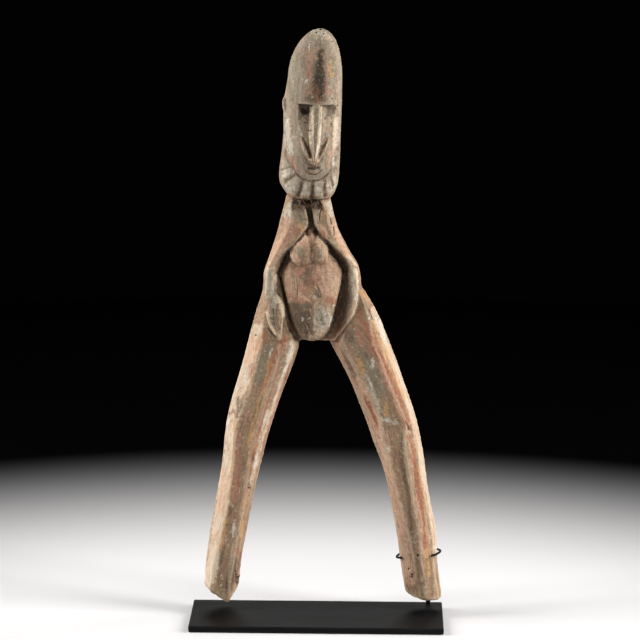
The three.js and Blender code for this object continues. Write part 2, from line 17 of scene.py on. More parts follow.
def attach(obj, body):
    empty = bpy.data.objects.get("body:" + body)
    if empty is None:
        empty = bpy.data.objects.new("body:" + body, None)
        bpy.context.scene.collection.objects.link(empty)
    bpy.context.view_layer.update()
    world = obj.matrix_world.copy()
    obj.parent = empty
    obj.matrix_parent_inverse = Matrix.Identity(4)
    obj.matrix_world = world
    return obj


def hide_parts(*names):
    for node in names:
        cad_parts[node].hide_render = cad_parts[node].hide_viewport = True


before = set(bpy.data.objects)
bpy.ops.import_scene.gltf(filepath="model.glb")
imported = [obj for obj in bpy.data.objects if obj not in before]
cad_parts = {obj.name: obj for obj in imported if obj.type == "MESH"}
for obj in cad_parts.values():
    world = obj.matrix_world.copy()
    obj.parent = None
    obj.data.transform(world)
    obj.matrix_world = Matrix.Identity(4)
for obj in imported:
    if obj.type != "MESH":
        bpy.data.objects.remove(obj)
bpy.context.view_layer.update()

MM = 0.001

# The camera, found from the stand's plate and the figure's height in the photograph
IMAGE = 640
FOCAL_PIXELS = 3500.0
SENSOR_MM = 36.0
PITCH = math.radians(9.14)
YAW = math.radians(0.93)
ROLL = math.radians(0.36)
DISTANCE = 3.6227
TARGET = Vector((0.00081, 0.0293, 0.3114))

forward = Vector((-math.sin(YAW) * math.cos(PITCH), math.cos(YAW) * math.cos(PITCH), -math.sin(PITCH)))
level = Vector((math.cos(YAW), math.sin(YAW), 0.0))
upright = level.cross(forward)
right = math.cos(ROLL) * level + math.sin(ROLL) * upright
up = math.cos(ROLL) * upright - math.sin(ROLL) * level
camera_place = TARGET - DISTANCE * forward

# The figure's own frame in the solid, and its unit: a hundredth of its height
FIGURE_PLACE = np.array((-7.9, 29.3, 13.55)) * MM
SHARE = 6.0 * MM
NECK = 71.6
CROTCH = 46.4
BELLY_HALF = 5.0

# How finely the figure is meshed
VOXEL = 2.12 * MM
TORSO_BOTTOM = 345  # the front above this row of pixels is cut finer
FACE_BOX = ((298, 103), (330, 178))  # cut once more than the torso, in pixels
MARK_MARGIN = 2.2  # pixels round a mark that are cut finer
FINE_FACING = 0.02

# The middle of each leg across, at heights along it, both in shares
LEFT_LEG_HEIGHTS = (0, 8.5, 16, 25.6, 33, 42.6, 50)
LEFT_LEG_MIDDLES = (-15.6, -14.9, -13.6, -11.8, -10.3, -7.3, -6.5)
RIGHT_LEG_HEIGHTS = (0, 8, 16, 24.8, 32, 38.5, 46, 53)
RIGHT_LEG_MIDDLES = (19.9, 18.9, 17.7, 16.0, 13.9, 11.6, 8.4, 7.0)


# Marks read from the photograph

# Soot-dark paint and painted shade. The skull's streak and the line at the mouth are dark paint. The eyes
# under the brow are dark paint and painted shadow. The neck cleft and the band under the beard are dirt and
# painted shade. The creases between the arms and the body are painted shade.
SOOT_AND_SHADE = (
    ((320.6, 50, 1.2), (320.4, 60, 3), (319.2, 72, 4.6), (318.6, 82, 5.6), (319.4, 94, 4)),
    ((301.5, 110.5, 2.2), (304.5, 112.5, 2.4), (308.5, 111.5, 2.2)), ((308.5, 168.8, 0.9),
    (313.5, 168.8, 1.2), (317.5, 168.2, 0.9)), ((309.4, 203, 2.2), (311.2, 212, 2.5), (312, 219, 2.2),
    (311.6, 226.4, 2.4)), ((298, 200, 0.6), (302, 201.5, 1), (309, 203, 1.8), (316, 201, 1),
    (320.5, 199.5, 0.6)), ((307.9, 229, 1.2), (300, 238.9, 1.4), (292, 248, 1.8), (287.6, 255, 1.7),
    (281.5, 267, 1.6), (279, 274, 1.8)), ((279.6, 274, 1.2), (282.4, 286, 0.8), (286.2, 300, 0.8),
    (290.4, 318.9, 0.9), (296.6, 332.6, 1)), ((312.8, 227, 1.1), (320.6, 236.9, 1.7), (327, 243.5, 1.9),
    (330, 248, 2.2), (335, 254.5, 1.6)), ((335, 254.5, 1.2), (342, 264, 0.9), (343.8, 274, 0.9),
    (341, 290, 0.9), (336.8, 306, 0.9), (332.3, 324, 1.1)),
)
# Umber stain, partly painted shade. Painted shadow lies under the brow line, and with dark paint in the
# eyes. It also lies along the nose's front facet, in the arc under the chin, in the creases between the arms
# and the body, and on the inner face of the forearm on the viewer's right. Under the beard and down the neck
# cleft it is dirt and painted shade. The skull's streak, the beard's stripes, the belly and the legs carry
# umber stain.
UMBER_AND_SHADE = (
    ((320, 44, 2.5), (320, 54, 4.5), (319.4, 66, 6), (318.6, 80, 7), (318.2, 92, 6.5)), ((308, 98.5, 3),
    (316, 99, 3.8), (325, 98.5, 3)), ((301, 108, 2), (306, 110, 2.8), (310, 108, 1.6)), ((309, 271, 3.4),
    (310.4, 280, 2.6)), ((293, 46, 1.4), (288.4, 58, 2), (286, 70, 2), (284.2, 84, 1.8)), ((283.2, 118, 1.4),
    (283.2, 134, 1.4)), ((316.4, 110, 1.2), (316, 125, 1.6), (314.8, 140, 1.2), (314.6, 150, 0.7)),
    ((342, 348, 2.2), (348, 362, 2.8), (354, 376, 2.4)), ((284, 350, 0.6), (281, 362, 0.6)), ((262, 398, 1),
    (257, 420, 1), (254, 440, 1), (251.6, 460, 1)), ((328, 108, 1.8), (331.5, 110.5, 2.8), (335, 108, 1.6)),
    ((297, 174.5, 1.5), (288.5, 178.4, 2.5), (285.5, 181.5, 1.8)), ((303, 181, 2), (300, 187, 3),
    (298.5, 193.5, 3)), ((312.5, 183, 2.6), (312, 189, 3.2), (311.5, 195.5, 3)), ((324, 180, 2.1),
    (323.5, 186, 2.6), (324.5, 196, 2)), ((329.5, 174, 1.2), (331, 179, 1.5), (332.5, 185.4, 1.2)),
    ((291, 166, 1), (281.5, 170, 1.1)), ((331, 167, 0.9), (330, 173, 0.9)), ((334, 168, 0.9),
    (334, 172, 0.9)), ((293, 167, 0.8), (295, 171, 1), (299, 176, 1.1), (303, 180, 1.1), (312.5, 181.5, 1)),
    ((312.5, 181.5, 1), (318, 181, 1), (323, 177, 1.1), (329, 175, 1.1), (330.5, 171, 0.9)),
    ((304.5, 171.4, 0.7), (309.3, 173.9, 0.7), (315.3, 174.6, 0.7), (320.6, 171, 0.6)), ((309, 168, 1.6),
    (318, 168, 1.6)), ((285, 151, 1.8), (285.6, 158, 2), (289.5, 162.5, 1.6)), ((337.5, 147.6, 1),
    (337.2, 150, 1.2)), ((336.2, 156.8, 1.4), (336.6, 159.5, 1.2)), ((304.5, 152, 1.2), (307.5, 160, 1.8),
    (311, 165.5, 1.4)), ((284.2, 99, 1.8), (284.6, 105, 2.2), (285.4, 110, 1.4)), ((322.5, 155, 1),
    (321.8, 161, 1)), ((293, 199, 2.4), (301, 201, 4), (309, 202, 4.5), (316, 201, 4), (322, 199, 2.2)),
    ((303, 206, 3), (308, 214, 2.6), (311, 222, 2.4)), ((301, 239, 1.2), (291, 249, 1.6), (284, 259, 1.6),
    (280, 268, 1.4)), ((306, 276, 5), (310, 284, 5)), ((316, 232, 1.4), (322, 239, 2), (328, 245, 2.4)),
    ((313.4, 206, 1.6), (313.6, 214, 1.6), (312.6, 222, 1.6)), ((331.4, 247.5, 2.6), (337, 255, 4.2),
    (344, 264, 4.4), (347, 272, 4)), ((346, 275, 3.4), (346.4, 287, 4.4), (345.5, 298, 5), (342, 310, 5.2),
    (338, 320, 4.6)), ((308.6, 276, 1.4), (310.6, 282, 2.2), (312, 287.4, 2)), ((296, 306, 3.5),
    (301, 312, 7), (303, 322, 7.5), (306, 331, 5)), ((275.5, 311, 2.6), (275.4, 319, 3.6),
    (277.3, 328, 2.8)), ((236, 560, 3.5), (232, 574, 4.5), (228, 588, 4)), ((222.5, 549, 2.6),
    (221, 558, 2.8), (220.4, 564, 2)), ((230.4, 507, 1.8), (229.6, 514, 1.6)), ((402.4, 432, 1.2),
    (401.6, 446, 2), (401.6, 463.5, 2.3), (406.8, 485.8, 2.6), (410.2, 519.3, 2.4)), ((410.2, 519.3, 1.6),
    (413.8, 541.6, 1.2), (416.1, 565, 0.8)), ((338, 316, 4), (344, 328, 5), (350, 340, 4)), ((238, 399, 2.4),
    (240, 408, 3.4), (238, 415, 2.4)), ((378.4, 370, 1.6), (380, 377, 1.8)), ((366.7, 352, 1.8),
    (366.8, 358, 1.6)),
)
# Grey-green paint. Along the nose's front facet, and on the skull's flanks inside their bright rims, it is
# painted shade.
SLATE = (
    ((319, 114, 1), (318, 130, 1.2), (316.6, 146, 1)), ((333, 58, 2), (334, 76, 2.4)), ((297, 52, 3),
    (293, 66, 4.4), (291.6, 84, 4.8), (292.6, 98, 3.6)), ((296, 206, 4), (299, 213, 4.6), (301.5, 221, 3.6)),
    ((304, 58, 1.6), (303, 76, 2)), ((319.8, 206, 3), (323, 214, 3.6), (324, 222, 3)), ((301, 250, 2.6),
    (303.4, 256, 3)), ((320.4, 250, 2), (320.6, 256, 2.2)), ((269.6, 272, 2.6), (270.6, 284, 3),
    (272, 296, 3.2), (274, 307, 2.8)), ((272.6, 314, 3), (274.6, 324, 3)), ((352, 276, 2), (352.6, 290, 2.2),
    (351, 304, 2.2)), ((319, 310, 2.6), (323, 322, 3)), ((313.6, 290, 1.6), (317.4, 293.6, 1.6)),
    ((351, 324, 3.6), (353.6, 336, 4), (356, 346, 3)), ((364, 352, 5), (371, 370, 6), (380, 392, 5)),
    ((268, 345, 3.6), (264, 362, 4.2), (260.6, 380, 4)),
)
# Broad facets of one tone, with crisp edges where the ridges are. The pale ones, on the outer sides of the
# legs, are pale paint and painted light.
PALE_FACETS = (
    ((258, 328, 5.5), (250.5, 356, 7), (242, 385.5, 6.6), (233, 408, 3.4)), ((231, 418, 3.4),
    (228.5, 455, 5), (223.7, 497, 6.2), (216.5, 538, 5.8), (210, 580, 6)), ((376, 312, 6), (383.6, 332, 7.6),
    (392.8, 358, 7.4), (404, 386, 6), (413, 413, 4), (420.5, 441, 3.6)), ((420.5, 441, 3.6), (424.5, 469, 4),
    (430, 497, 3.2), (434, 524, 3.4), (437, 552, 3)),
)
TAUPE_FACETS = (
    ((270, 342, 8), (262, 370, 9), (254, 400, 9), (247, 430, 9), (243, 460, 9), (236, 500, 8.4)),
    ((236, 500, 8.4), (230, 540, 9), (224, 580, 9)), ((356, 330, 8), (363, 352, 12), (373, 376, 11),
    (384, 400, 10), (391, 420, 10), (397, 441, 8)), ((397, 441, 8), (402, 469, 7), (405.6, 497, 5),
    (410, 524, 4), (415, 560, 4), (420, 590, 8)),
)
# Dark, dull areas with fairly crisp edges: dark paint on the lower belly, and painted shade on the inner
# face of the forearm on the viewer's right and by its elbow
DUSK = (
    ((291, 306, 3.4), (300, 306, 3.8), (309, 306, 3.4)), ((298, 313, 8), (303, 319, 9), (306, 330, 6.5)),
    ((346.4, 272, 4.2), (347.4, 287, 5), (346.4, 300, 5.6), (342.6, 312, 6.4), (339, 324, 6)),
    ((336, 256, 3), (342, 264, 3.8)), ((312.6, 289.6, 1.6), (316.6, 292, 2.4), (319.4, 296, 2)),
)
# Paler crust on the beard's lobes, the skull and the arms; along the skull's sides it is also a painted rim
# highlight, and in the hollows beside the nose it is painted light
BONE = (
    ((286, 174, 3.4), (285, 169, 2.4)), ((292, 184, 3.6), (290, 190, 3)), ((305.6, 185, 2.6),
    (305, 194, 3.4)), ((318, 185, 2.8), (318, 194, 3.6)), ((328, 182, 2), (329, 190, 3)), ((334.6, 178, 1.6),
    (335.4, 186, 2)), ((300, 34, 3), (293, 44, 2.6)), ((312, 30, 3.4), (320, 32, 3.6), (328, 38, 2.4)),
    ((287, 122, 3), (288, 140, 3.4), (291, 152, 2.4)), ((337, 118, 2), (337, 140, 2)), ((291, 206, 3.6),
    (287, 215, 4.2)), ((329, 204, 3.4), (332, 214, 3.4)), ((270, 272, 5), (271, 286, 6), (275, 300, 6)),
    ((355.6, 270, 2.2), (356.4, 284, 2.4), (355, 298, 2.2)), ((303, 120, 4), (305.4, 132, 4), (308, 144, 3)),
    ((328, 126, 2.4), (326.6, 134, 2.2)), ((317, 322, 3), (322, 311, 5.4), (325, 321, 6), (321, 332, 4.4)),
    ((366, 375, 1.6), (372, 388, 2.2), (378, 406, 2.2), (382, 420, 2), (397, 421.8, 1.6)),
)
# Cream paint. The flanks of the nose and the hollows on either side of it are painted brighter, as painted
# light.
CREAM = (
    ((312.2, 111, 0.6), (312.5, 124, 0.7), (313.2, 138, 0.6), (314, 150, 0.5)), ((323.4, 108, 2.4),
    (323, 120, 2.8), (320.6, 137, 2.4), (318.2, 150, 2), (316.2, 160, 1.2)), ((303, 120, 3.4),
    (305.6, 132, 3.4), (308.4, 145, 2.4)), ((329, 120, 3.4), (327.4, 130, 3)), ((332, 150, 2),
    (330, 160, 2)), ((302.3, 140.6, 0.6), (306.4, 152.6, 0.7), (312.5, 165.2, 0.9)), ((327.2, 143.4, 0.9),
    (322.6, 152, 0.9), (318, 162.4, 0.8)), ((334.6, 116, 2), (335, 132, 2), (334, 148, 2)),
    ((351.4, 321, 1.2), (354.6, 311, 1.5), (357.8, 301, 1.3)), ((356.6, 270, 1), (357, 282, 1.2),
    (356.8, 294, 1)), ((277, 280, 2.6), (280, 298, 2.8), (284.6, 314, 2.4)), ((329, 266, 4.4),
    (335, 276, 5.4), (331, 291, 4.4)), ((321, 245, 2.4), (323.6, 254, 3)), ((324.4, 144, 1.4),
    (322, 151, 1.4)), ((392, 500, 2), (398, 540, 2.5), (403, 575, 3)), ((384, 452, 2), (388, 476, 2)),
    ((308.8, 301.4, 0.5), (308.8, 297.4, 0.6), (311.4, 294.8, 0.7), (314.6, 296, 0.6), (315.4, 300.4, 0.5)),
    ((266.9, 312, 0.7), (270.8, 325.7, 0.9), (276.6, 334.5, 0.8)), ((270, 262, 1.6), (267, 268, 1.8)),
    ((349, 256, 1.8), (356, 264, 1.8)), ((297, 341, 1.6), (293.4, 350, 2.2), (288.4, 364, 2.2),
    (283, 379, 2), (277.6, 395, 2), (271.6, 413, 2.2)), ((269, 413, 3), (264.4, 427, 2.4), (259.4, 446, 1.8),
    (255.6, 462, 2.4), (251.6, 480, 1.6)), ((309, 337, 1.2), (316, 336.4, 2), (322, 332, 2.4)),
)
PEACH = (
    ((288, 224, 4.6), (282.6, 238, 6), (276, 250, 5.4), (270.5, 260, 3.6)), ((334, 226, 4), (340, 240, 4.6),
    (347, 253, 4.2)), ((310, 232, 3), (303, 241, 4), (297, 247, 3.4)), ((312, 236, 3), (318, 241, 3),
    (323, 247, 3.4)), ((287, 268, 3), (289, 280, 3.4), (292, 292, 4)), ((300, 296, 4), (308, 300, 3)),
    ((322, 272, 6), (330, 266, 8), (336, 272, 8), (335, 286, 8), (330, 297, 6), (324, 286, 8)),
    ((294, 254, 3), (298, 262, 3)), ((324, 254, 2.4), (320, 262, 2.4)), ((294, 303, 2), (296, 308, 2)),
    ((321, 228, 3), (326, 236, 3)), ((333, 340, 4), (343, 358, 4.4), (358, 386, 5), (371, 413, 6),
    (382, 441, 6)), ((382, 441, 6), (389, 469, 5.6), (394, 497, 5.6), (398, 524, 6), (404, 560, 6),
    (408, 580, 6)), ((411, 441, 4.4), (415, 469, 4.6), (420, 497, 5.4), (423, 524, 5.4), (427, 552, 5.4)),
    ((252, 340, 4), (247, 360, 4)), ((224, 470, 3), (220, 510, 3)),
)
ROSE = (
    ((293, 264, 1.2), (298, 267, 1.4), (304.5, 267.2, 1.5), (309.4, 263.6, 1.2)), ((313.6, 262.6, 1.2),
    (319, 265.4, 1.6), (325.4, 262.4, 1.2)), ((299, 273, 5), (309, 272, 7), (314, 280, 6)), ((300, 284, 4),
    (306, 291, 4.4)), ((291.5, 158, 3), (294, 166, 3), (298, 172, 2.4)), ((331, 148, 2.4), (330.6, 158, 2.6),
    (327.6, 166, 2.2)), ((309.8, 50, 2.6), (308.4, 62, 3), (308.6, 76, 2.8)), ((325.6, 84, 2),
    (325.8, 94, 2.2)), ((330.7, 91.5, 1.2), (331, 95, 1)), ((314.4, 163, 1), (312, 160.5, 0.9)),
    ((292, 226, 2.4), (288.6, 236, 3.4), (282, 246, 3)), ((318.6, 228, 1.6), (324, 236, 2)), ((289, 296, 3),
    (296, 301, 3), (304, 302, 2.4)), ((326, 300, 2.6), (333, 299, 2.6)), ((341, 322, 4), (345, 334, 4)),
    ((346, 262, 3), (340, 254, 2.6)), ((251.8, 388.4, 1.3), (254.4, 389.6, 1.4)), ((260.6, 388.6, 1.3),
    (263.4, 389.2, 1.1)), ((254, 364, 2.6), (250, 376, 2.4)), ((262, 338, 2), (258, 350, 2.2)),
    ((287.6, 372, 1.6), (281.6, 390, 1.7), (275.6, 408, 1.6), (268, 432, 1.6), (261, 458, 1.4)),
    ((240, 440, 2.4), (237, 470, 2.8), (234, 500, 2.6)), ((246, 420, 2), (250, 404, 2)),
    ((305.4, 172.6, 0.9), (314.8, 173.2, 0.9)), ((372, 344, 2.6), (380, 364, 2.6), (388, 384, 2.4)),
    ((356, 330, 3), (362, 344, 3)), ((412, 452, 2), (416, 476, 2), (420, 504, 2)),
)
OCHRE = (
    ((260.4, 334, 1.2), (256, 352, 1.5), (251.4, 374, 1.6), (249, 391, 1.4)), ((235, 419, 1.2),
    (233.6, 452, 1.3), (231, 490, 1.2), (225.6, 524, 1), (219.4, 552, 0.9)), ((274, 352, 1.8),
    (268, 374, 2.2), (262.6, 396, 2.8), (256.6, 418, 3), (251, 440, 2.6), (247.6, 466, 2)),
    ((245.6, 494, 1.5), (242.4, 515, 1.8), (241.6, 538, 1.6)), ((230.4, 584, 1), (228.6, 592, 1.2)),
    ((358.7, 358.5, 1.8), (362, 368, 2), (364, 376, 1.6)), ((362.8, 292, 2.2), (368, 299, 2)),
    ((372, 322, 1.4), (382, 346, 1.6), (394, 372, 1.8), (404, 400, 1.6)), ((413, 446, 1.2), (418, 474, 1.4),
    (424, 512, 1.4), (427, 545, 1.4), (428, 575, 1.4)), ((386.6, 406, 1.6), (386.8, 414, 1.4)),
    ((387.9, 465, 1.6), (389, 473, 1.2)), (327, 37.5, 1.4), ((330.2, 60, 1.4), (331.4, 76, 1.4)),
    ((309.6, 277, 2), (310.8, 284, 2.6), (312, 289, 2)), ((322.6, 216, 1), (320.6, 203, 1.6)),
    ((300, 224, 1.6), (303, 230, 1.4)),
)
RUST = (
    ((300.6, 138.8, 0.8), (303.4, 145, 0.7), (306, 152, 0.8), (309, 158.5, 0.9)), ((328.4, 139.8, 1.4),
    (326.6, 144.6, 0.9), (324.4, 150, 0.8)), ((313.2, 162.5, 0.8), (316, 164.5, 0.8)), (319.4, 99, 0.8),
    (289.3, 116.8, 0.8), (330.3, 91, 1), (313, 91, 1.2), ((299, 229.4, 1.4), (297.6, 234, 1.4),
    (296.6, 238, 1)), ((320.6, 229.6, 1.2), (324.6, 236, 1.2)), ((331.3, 300.5, 1.8), (333, 304, 1.4)),
    ((312.2, 332, 0.8), (311.8, 340, 0.9)), ((265, 333, 1.5), (262, 343, 1.7), (260.4, 352, 1.4)),
    ((285.6, 338, 2), (283, 344, 2.4)), ((280, 344, 3.8), (277, 355, 4.6), (274, 364, 4.4), (271, 375, 4),
    (267.6, 386, 3.2)), ((266.6, 398, 1.8), (261, 418, 2.2), (255.6, 436, 2.8), (252.6, 456, 3),
    (250, 478, 2.4)), ((246, 489, 1.3), (245, 499, 1.3)), ((243, 505, 1.4), (241.6, 520, 1.2)),
    ((337.3, 338, 1.8), (341, 347, 1.4), (346, 360, 1.9), (351, 371, 1.4), (358, 385, 1.4)),
    ((364, 396, 1.4), (369.8, 408, 2), (375, 418.7, 1.9), (378, 432, 1)), ((340, 312, 2.4), (337, 322, 2.8),
    (340, 332, 2.4)), ((357.6, 311.4, 2.2), (364.4, 325, 3), (373.5, 343, 3.8), (381, 358, 4.4),
    (388, 374, 4.9)), ((388, 374, 4.9), (393, 389, 5.2), (398.4, 402.6, 4.8), (404, 417.5, 3.8),
    (408.5, 428.6, 3)), ((409, 436.7, 2.4), (413.5, 452.3, 2.6), (417, 475, 2.6), (420, 497, 2.4),
    (423.8, 524, 2.2)), ((423.8, 524, 2), (425.7, 548, 1.8)), ((236, 566, 2.2), (233, 580, 2.6)),
    ((238, 548, 1.4), (240, 556, 1.6)), ((240, 474, 1), (237, 500, 1)),
)
BRICK = (
    ((281, 343, 2.6), (278, 354, 3.4), (275.4, 364, 3.2), (272, 375, 2.8), (268.6, 386, 2)),
    ((284, 338, 1.6), (282.6, 345, 1.4)), ((290.4, 362, 0.8), (287, 374, 0.9), (283.6, 386, 0.8)),
    ((257.6, 424, 1.2), (254.4, 440, 1.8), (252, 458, 1.6)), ((240.6, 552, 1), (238, 566, 1.6),
    (235, 582, 1.8)), ((341, 342, 1.6), (346, 355, 2.2), (352, 368, 1.4)), ((365, 398, 1.2), (370.4, 409, 2),
    (376, 424, 1.2)), ((400, 406, 0.9), (405, 418, 1.2), (408, 428, 1)), ((377, 346, 0.8), (388, 372, 0.9),
    (396, 394, 0.8)), ((413, 470, 0.8), (416.6, 496, 0.9), (420.6, 524, 0.8)),
)
# White chalk specks and stripes. The long line down the nose's right flank is a painted highlight.
CHALK_AND_HIGHLIGHT = (
    ((291.7, 342, 1.6), (290.6, 352, 2.2), (288, 361, 1.6)), ((285.8, 366, 1.4), (283.4, 376, 1.8)),
    ((279.6, 382, 1.2), (277.4, 390, 1.5)), ((274.6, 396, 1.3), (272.8, 403, 1.3)), ((268.6, 411, 1.4),
    (266.4, 420, 2), (264.2, 427, 1.4)), ((261.6, 436, 0.9), (260, 445, 1.1)), ((256.6, 457, 1.6),
    (255, 467, 2)), ((252, 476, 1), (250.8, 484, 0.9)), ((253, 444, 0.9), (252.8, 449, 0.8)), ((235, 521, 1),
    (233.8, 528, 1.7), (232.6, 535, 1.2)), (232.6, 505.2, 1), (239.4, 494.7, 0.9), (238.9, 501, 0.8),
    (221.4, 569, 0.9), (221, 577, 0.9), (221, 586, 0.8), ((302, 316.6, 1), (302.4, 321, 1.2)),
    (309.3, 318.4, 1.2), (334.2, 305.7, 1.3), ((331.6, 316.9, 1.3), (330.8, 322, 1.4)), (328.4, 326.7, 1.1),
    (325, 314, 0.8), (321, 322, 0.8), (326, 333, 0.8), (329, 311, 0.7), ((372.8, 357, 1.6),
    (372.8, 369, 1.9)), ((379.6, 322, 1.6), (382, 331, 2.4), (384, 338, 1.6)), (368.9, 317.6, 1.2),
    (376, 319.6, 1.1), (350, 326, 1), (354, 331, 1.1), (348.6, 336, 0.9), ((368, 379, 0.7), (372.8, 388, 1)),
    ((376, 402, 0.6), (379.6, 411, 0.9)), ((383, 419, 1.1), (388, 420.6, 0.8)), ((387.9, 446, 0.8),
    (387.9, 455, 0.7)), ((435.8, 547, 1.6), (436, 554, 1.4)), ((306.8, 80.7, 1.2), (305.8, 83, 1)),
    ((287.6, 119.5, 0.8), (287.6, 123, 0.8)), (316.4, 165.2, 0.9), ((333.4, 158, 0.9), (333.2, 165, 0.9)),
    # The first mark below, down the nose's right flank, is a painted highlight
    ((323.6, 112, 1.2), (324, 124, 2), (322, 137, 1.9), (319, 149, 1.3), (316.8, 158, 0.9)), (293, 172, 0.9),
    (284, 176, 1.1), (306, 187, 1.6), (318, 188, 1.8), (293, 187, 1.8), (328, 186, 1.2), (286, 186, 1.2),
    ((229, 418, 0.8), (228, 430, 0.9)), ((272.4, 348, 0.6), (270, 356, 0.5)), ((309.6, 45, 0.6),
    (309, 52, 0.5)),
)
CRACKS = (
    ((296.2, 279, 0.1), (297.6, 288, 0.3), (297, 297.4, 0.1)), ((293.8, 276.6, 0.2), (294.2, 283, 0.1)),
    ((316.7, 285.7, 0.5), (319.4, 290.4, 0.5), (321.5, 296.4, 0.4)), ((311.4, 334, 0.5), (308.4, 326, 0.4),
    (306, 321.6, 0.3)), ((330.4, 217.6, 0.5), (331.4, 224, 0.6)), ((333.6, 227, 0.5), (334, 235.6, 0.5)),
    ((319.6, 220.6, 0.4), (319.4, 213, 0.5), (322, 209.2, 0.5), (326, 212, 0.5), (326.6, 219.6, 0.4)),
    ((292.6, 209.6, 0.4), (295.6, 207.2, 0.3)), ((300, 214, 0.1), (302, 221, 0.1)), ((281.5, 318.9, 0.2),
    (280.4, 325, 0.3), (279.6, 330.6, 0.2)), ((268.4, 328.4, 0.5), (272.6, 334.4, 0.6), (277, 338.2, 0.5)),
    ((273.6, 309, 0.1), (273.2, 318, 0.2), (275.6, 328, 0.1)), ((364.8, 302.2, 0.4), (369.6, 311, 0.5),
    (374, 320.6, 0.4)), ((405.4, 420.6, 0.4), (407.8, 425.6, 0.6), (409.4, 429.6, 0.7)), ((235.5, 571, 0.6),
    (236.8, 579, 0.8), (237.5, 585, 0.6)), ((285.4, 99, 0.5), (284.6, 104.6, 0.6), (285.6, 109.6, 0.4)),
)
HOLES = (
    (255.6, 335.2, 0.8), (248.9, 487.9, 0.8), (417.8, 555.5, 1.2), (411.8, 574.6, 1.2), (411.8, 577, 1.1),
    (408.5, 568.9, 0.8), (311, 106.2, 0.9), (305.3, 122.4, 0.6), (310, 130.8, 0.7), (332, 98.8, 0.7),
    (337.7, 105.5, 0.8), (316.2, 32, 0.7), (323.5, 33.3, 0.7), (332.5, 41.2, 0.6), (293.5, 61.2, 0.6),
    (332.6, 210.6, 0.8), (344.6, 301, 0.6), (317.6, 81.6, 0.6), (320.6, 28.8, 1), (378.8, 438, 0.6),
)
# Wood that stands proud of the solid: lines of (across, down, reach) and the rise in millimetres
RISES = (
    (((311, 231.5, 2.4), (311.6, 238, 2.6), (312.2, 243, 1.6)), 1.3), (((277, 278, 2.6), (279.6, 292, 3),
    (283, 306, 3.2), (287.4, 320, 3), (292.6, 332, 2.4)), 2.5), (((286, 256, 1.8), (282, 262, 2.2),
    (278.6, 269, 2.4)), 1), (((312.6, 245, 1.4), (312.3, 252, 1.5), (312, 259, 1.2)), 0.9),
    (((314.4, 303, 1.2), (314.2, 316, 1.3), (313.8, 330, 1)), 0.5), (((246, 398, 5), (243, 408, 8),
    (242, 417, 6)), 1.3), (((266.9, 312, 0.9), (270.8, 325.7, 1.1), (276.6, 334.5, 0.9)), 0.8),
    (((388, 437, 4), (396, 433, 4)), 0.5), (((238.4, 573, 0.9), (239.6, 580, 1), (239.4, 585, 0.8)), 1.2),
)
# Wood worn or cut away below the solid
HOLLOWS = (
    (((237.4, 578, 1.6), (237.2, 582, 1.6)), 1.4), ((409.7, 429.8, 1.4), 0.9), (((307, 230.5, 1),
    (300, 239, 1.2), (297, 242.6, 0.8)), 1), (((315, 230.5, 1), (320.6, 237, 1.2), (326.4, 243, 1.4)), 1),
    (((247.4, 539, 1.2), (246.8, 542, 1.4)), 0.9), (((329.6, 246, 1.8), (332, 250.6, 1.4)), 1.2),
    (((293, 167, 1.4), (296, 172.5, 1.6), (303.6, 179.6, 1.6), (312.5, 181.5, 1.6)), 0.4),
    (((312.5, 181.5, 1.6), (318.5, 180.6, 1.6), (325, 177, 1.6), (330.4, 171, 1.4)), 0.4),
    (((273.6, 312, 2.6), (275.4, 322, 3)), 0.5),
)
# Regions of the front that are worn, crumbly or lit in their own way
FACE = ((315, 118, 22), (315, 160, 20))
BELLY = ((316, 272, 16), (314, 300, 17), (312.6, 326, 11))
CHEST_RIDGE = ((311, 231, 2.6), (311.6, 238, 3.4), (312.2, 244, 2.4))
KNEE = ((246, 398, 6), (243, 408, 9), (242, 419, 7))
LOWER_LEFT = ((302, 312, 6), (306, 326, 7))
LOWER_RIGHT = ((323, 308, 6), (322, 326, 7))
UNDER_BEARD = ((300, 202, 5), (316, 202, 5))
SKULL_CORE = ((319, 52, 5), (318.6, 68, 9), (317, 92, 11))
FOREARM_INSIDE = ((277, 272, 4), (280, 290, 5), (284, 306, 5), (289, 322, 4))

# Relief in millimetres: the size of its waves, a seed, and its depth on the legs, the body and the head
GRAIN = (((4.6, 4.6, 50), 4, (0.12, 0.10, 0)), ((2.8, 2.8, 18), 5, (0.08, 0.08, 0)))
CRUST = ((4.4, 16, (0.10, 0.16, 0.16)), (2.3, 17, (0.06, 0.12, 0.12)))
SWELL = 0.40
LEG_FACET = 0.35
BODY_FACET = 0.50
HEAD_FACET = 0.14
RIB = 0.45
CHECK = 0.5
CRACK = 0.9
HOLE = 1.6
CRUMB = 0.55

# Turns of smoothing for the worn edges, the belly and the chest
EDGE_TURNS = 6
BELLY_TURNS = 18
CHEST_TURNS = 36

SOLID_REACH = 2.0 * MM
SHELTER_RAYS = 14
SHELTER_START = 0.4 * MM
SHELTER_REACH = 22 * MM


def placed(name, data):
    piece = bpy.data.objects.new(name, data)
    bpy.context.scene.collection.objects.link(piece)
    return piece


def mesh_from(model, name):
    mesh = bpy.data.meshes.new(name)
    model.to_mesh(mesh)
    model.free()
    return mesh


def smooth_step(low, high, value):
    share = np.clip((value - low) / (high - low), 0, 1)
    return share * share * (3 - 2 * share)


def noise_of(points, size, seed):
    """Smooth noise from -1 to 1 at points, with waves of about the size given in millimetres."""
    scaled = points / (np.asarray(size) * MM) + np.array((seed * 7.31, seed * 3.17, seed * 5.73))
    return np.array([noise.noise(place) for place in scaled.tolist()])


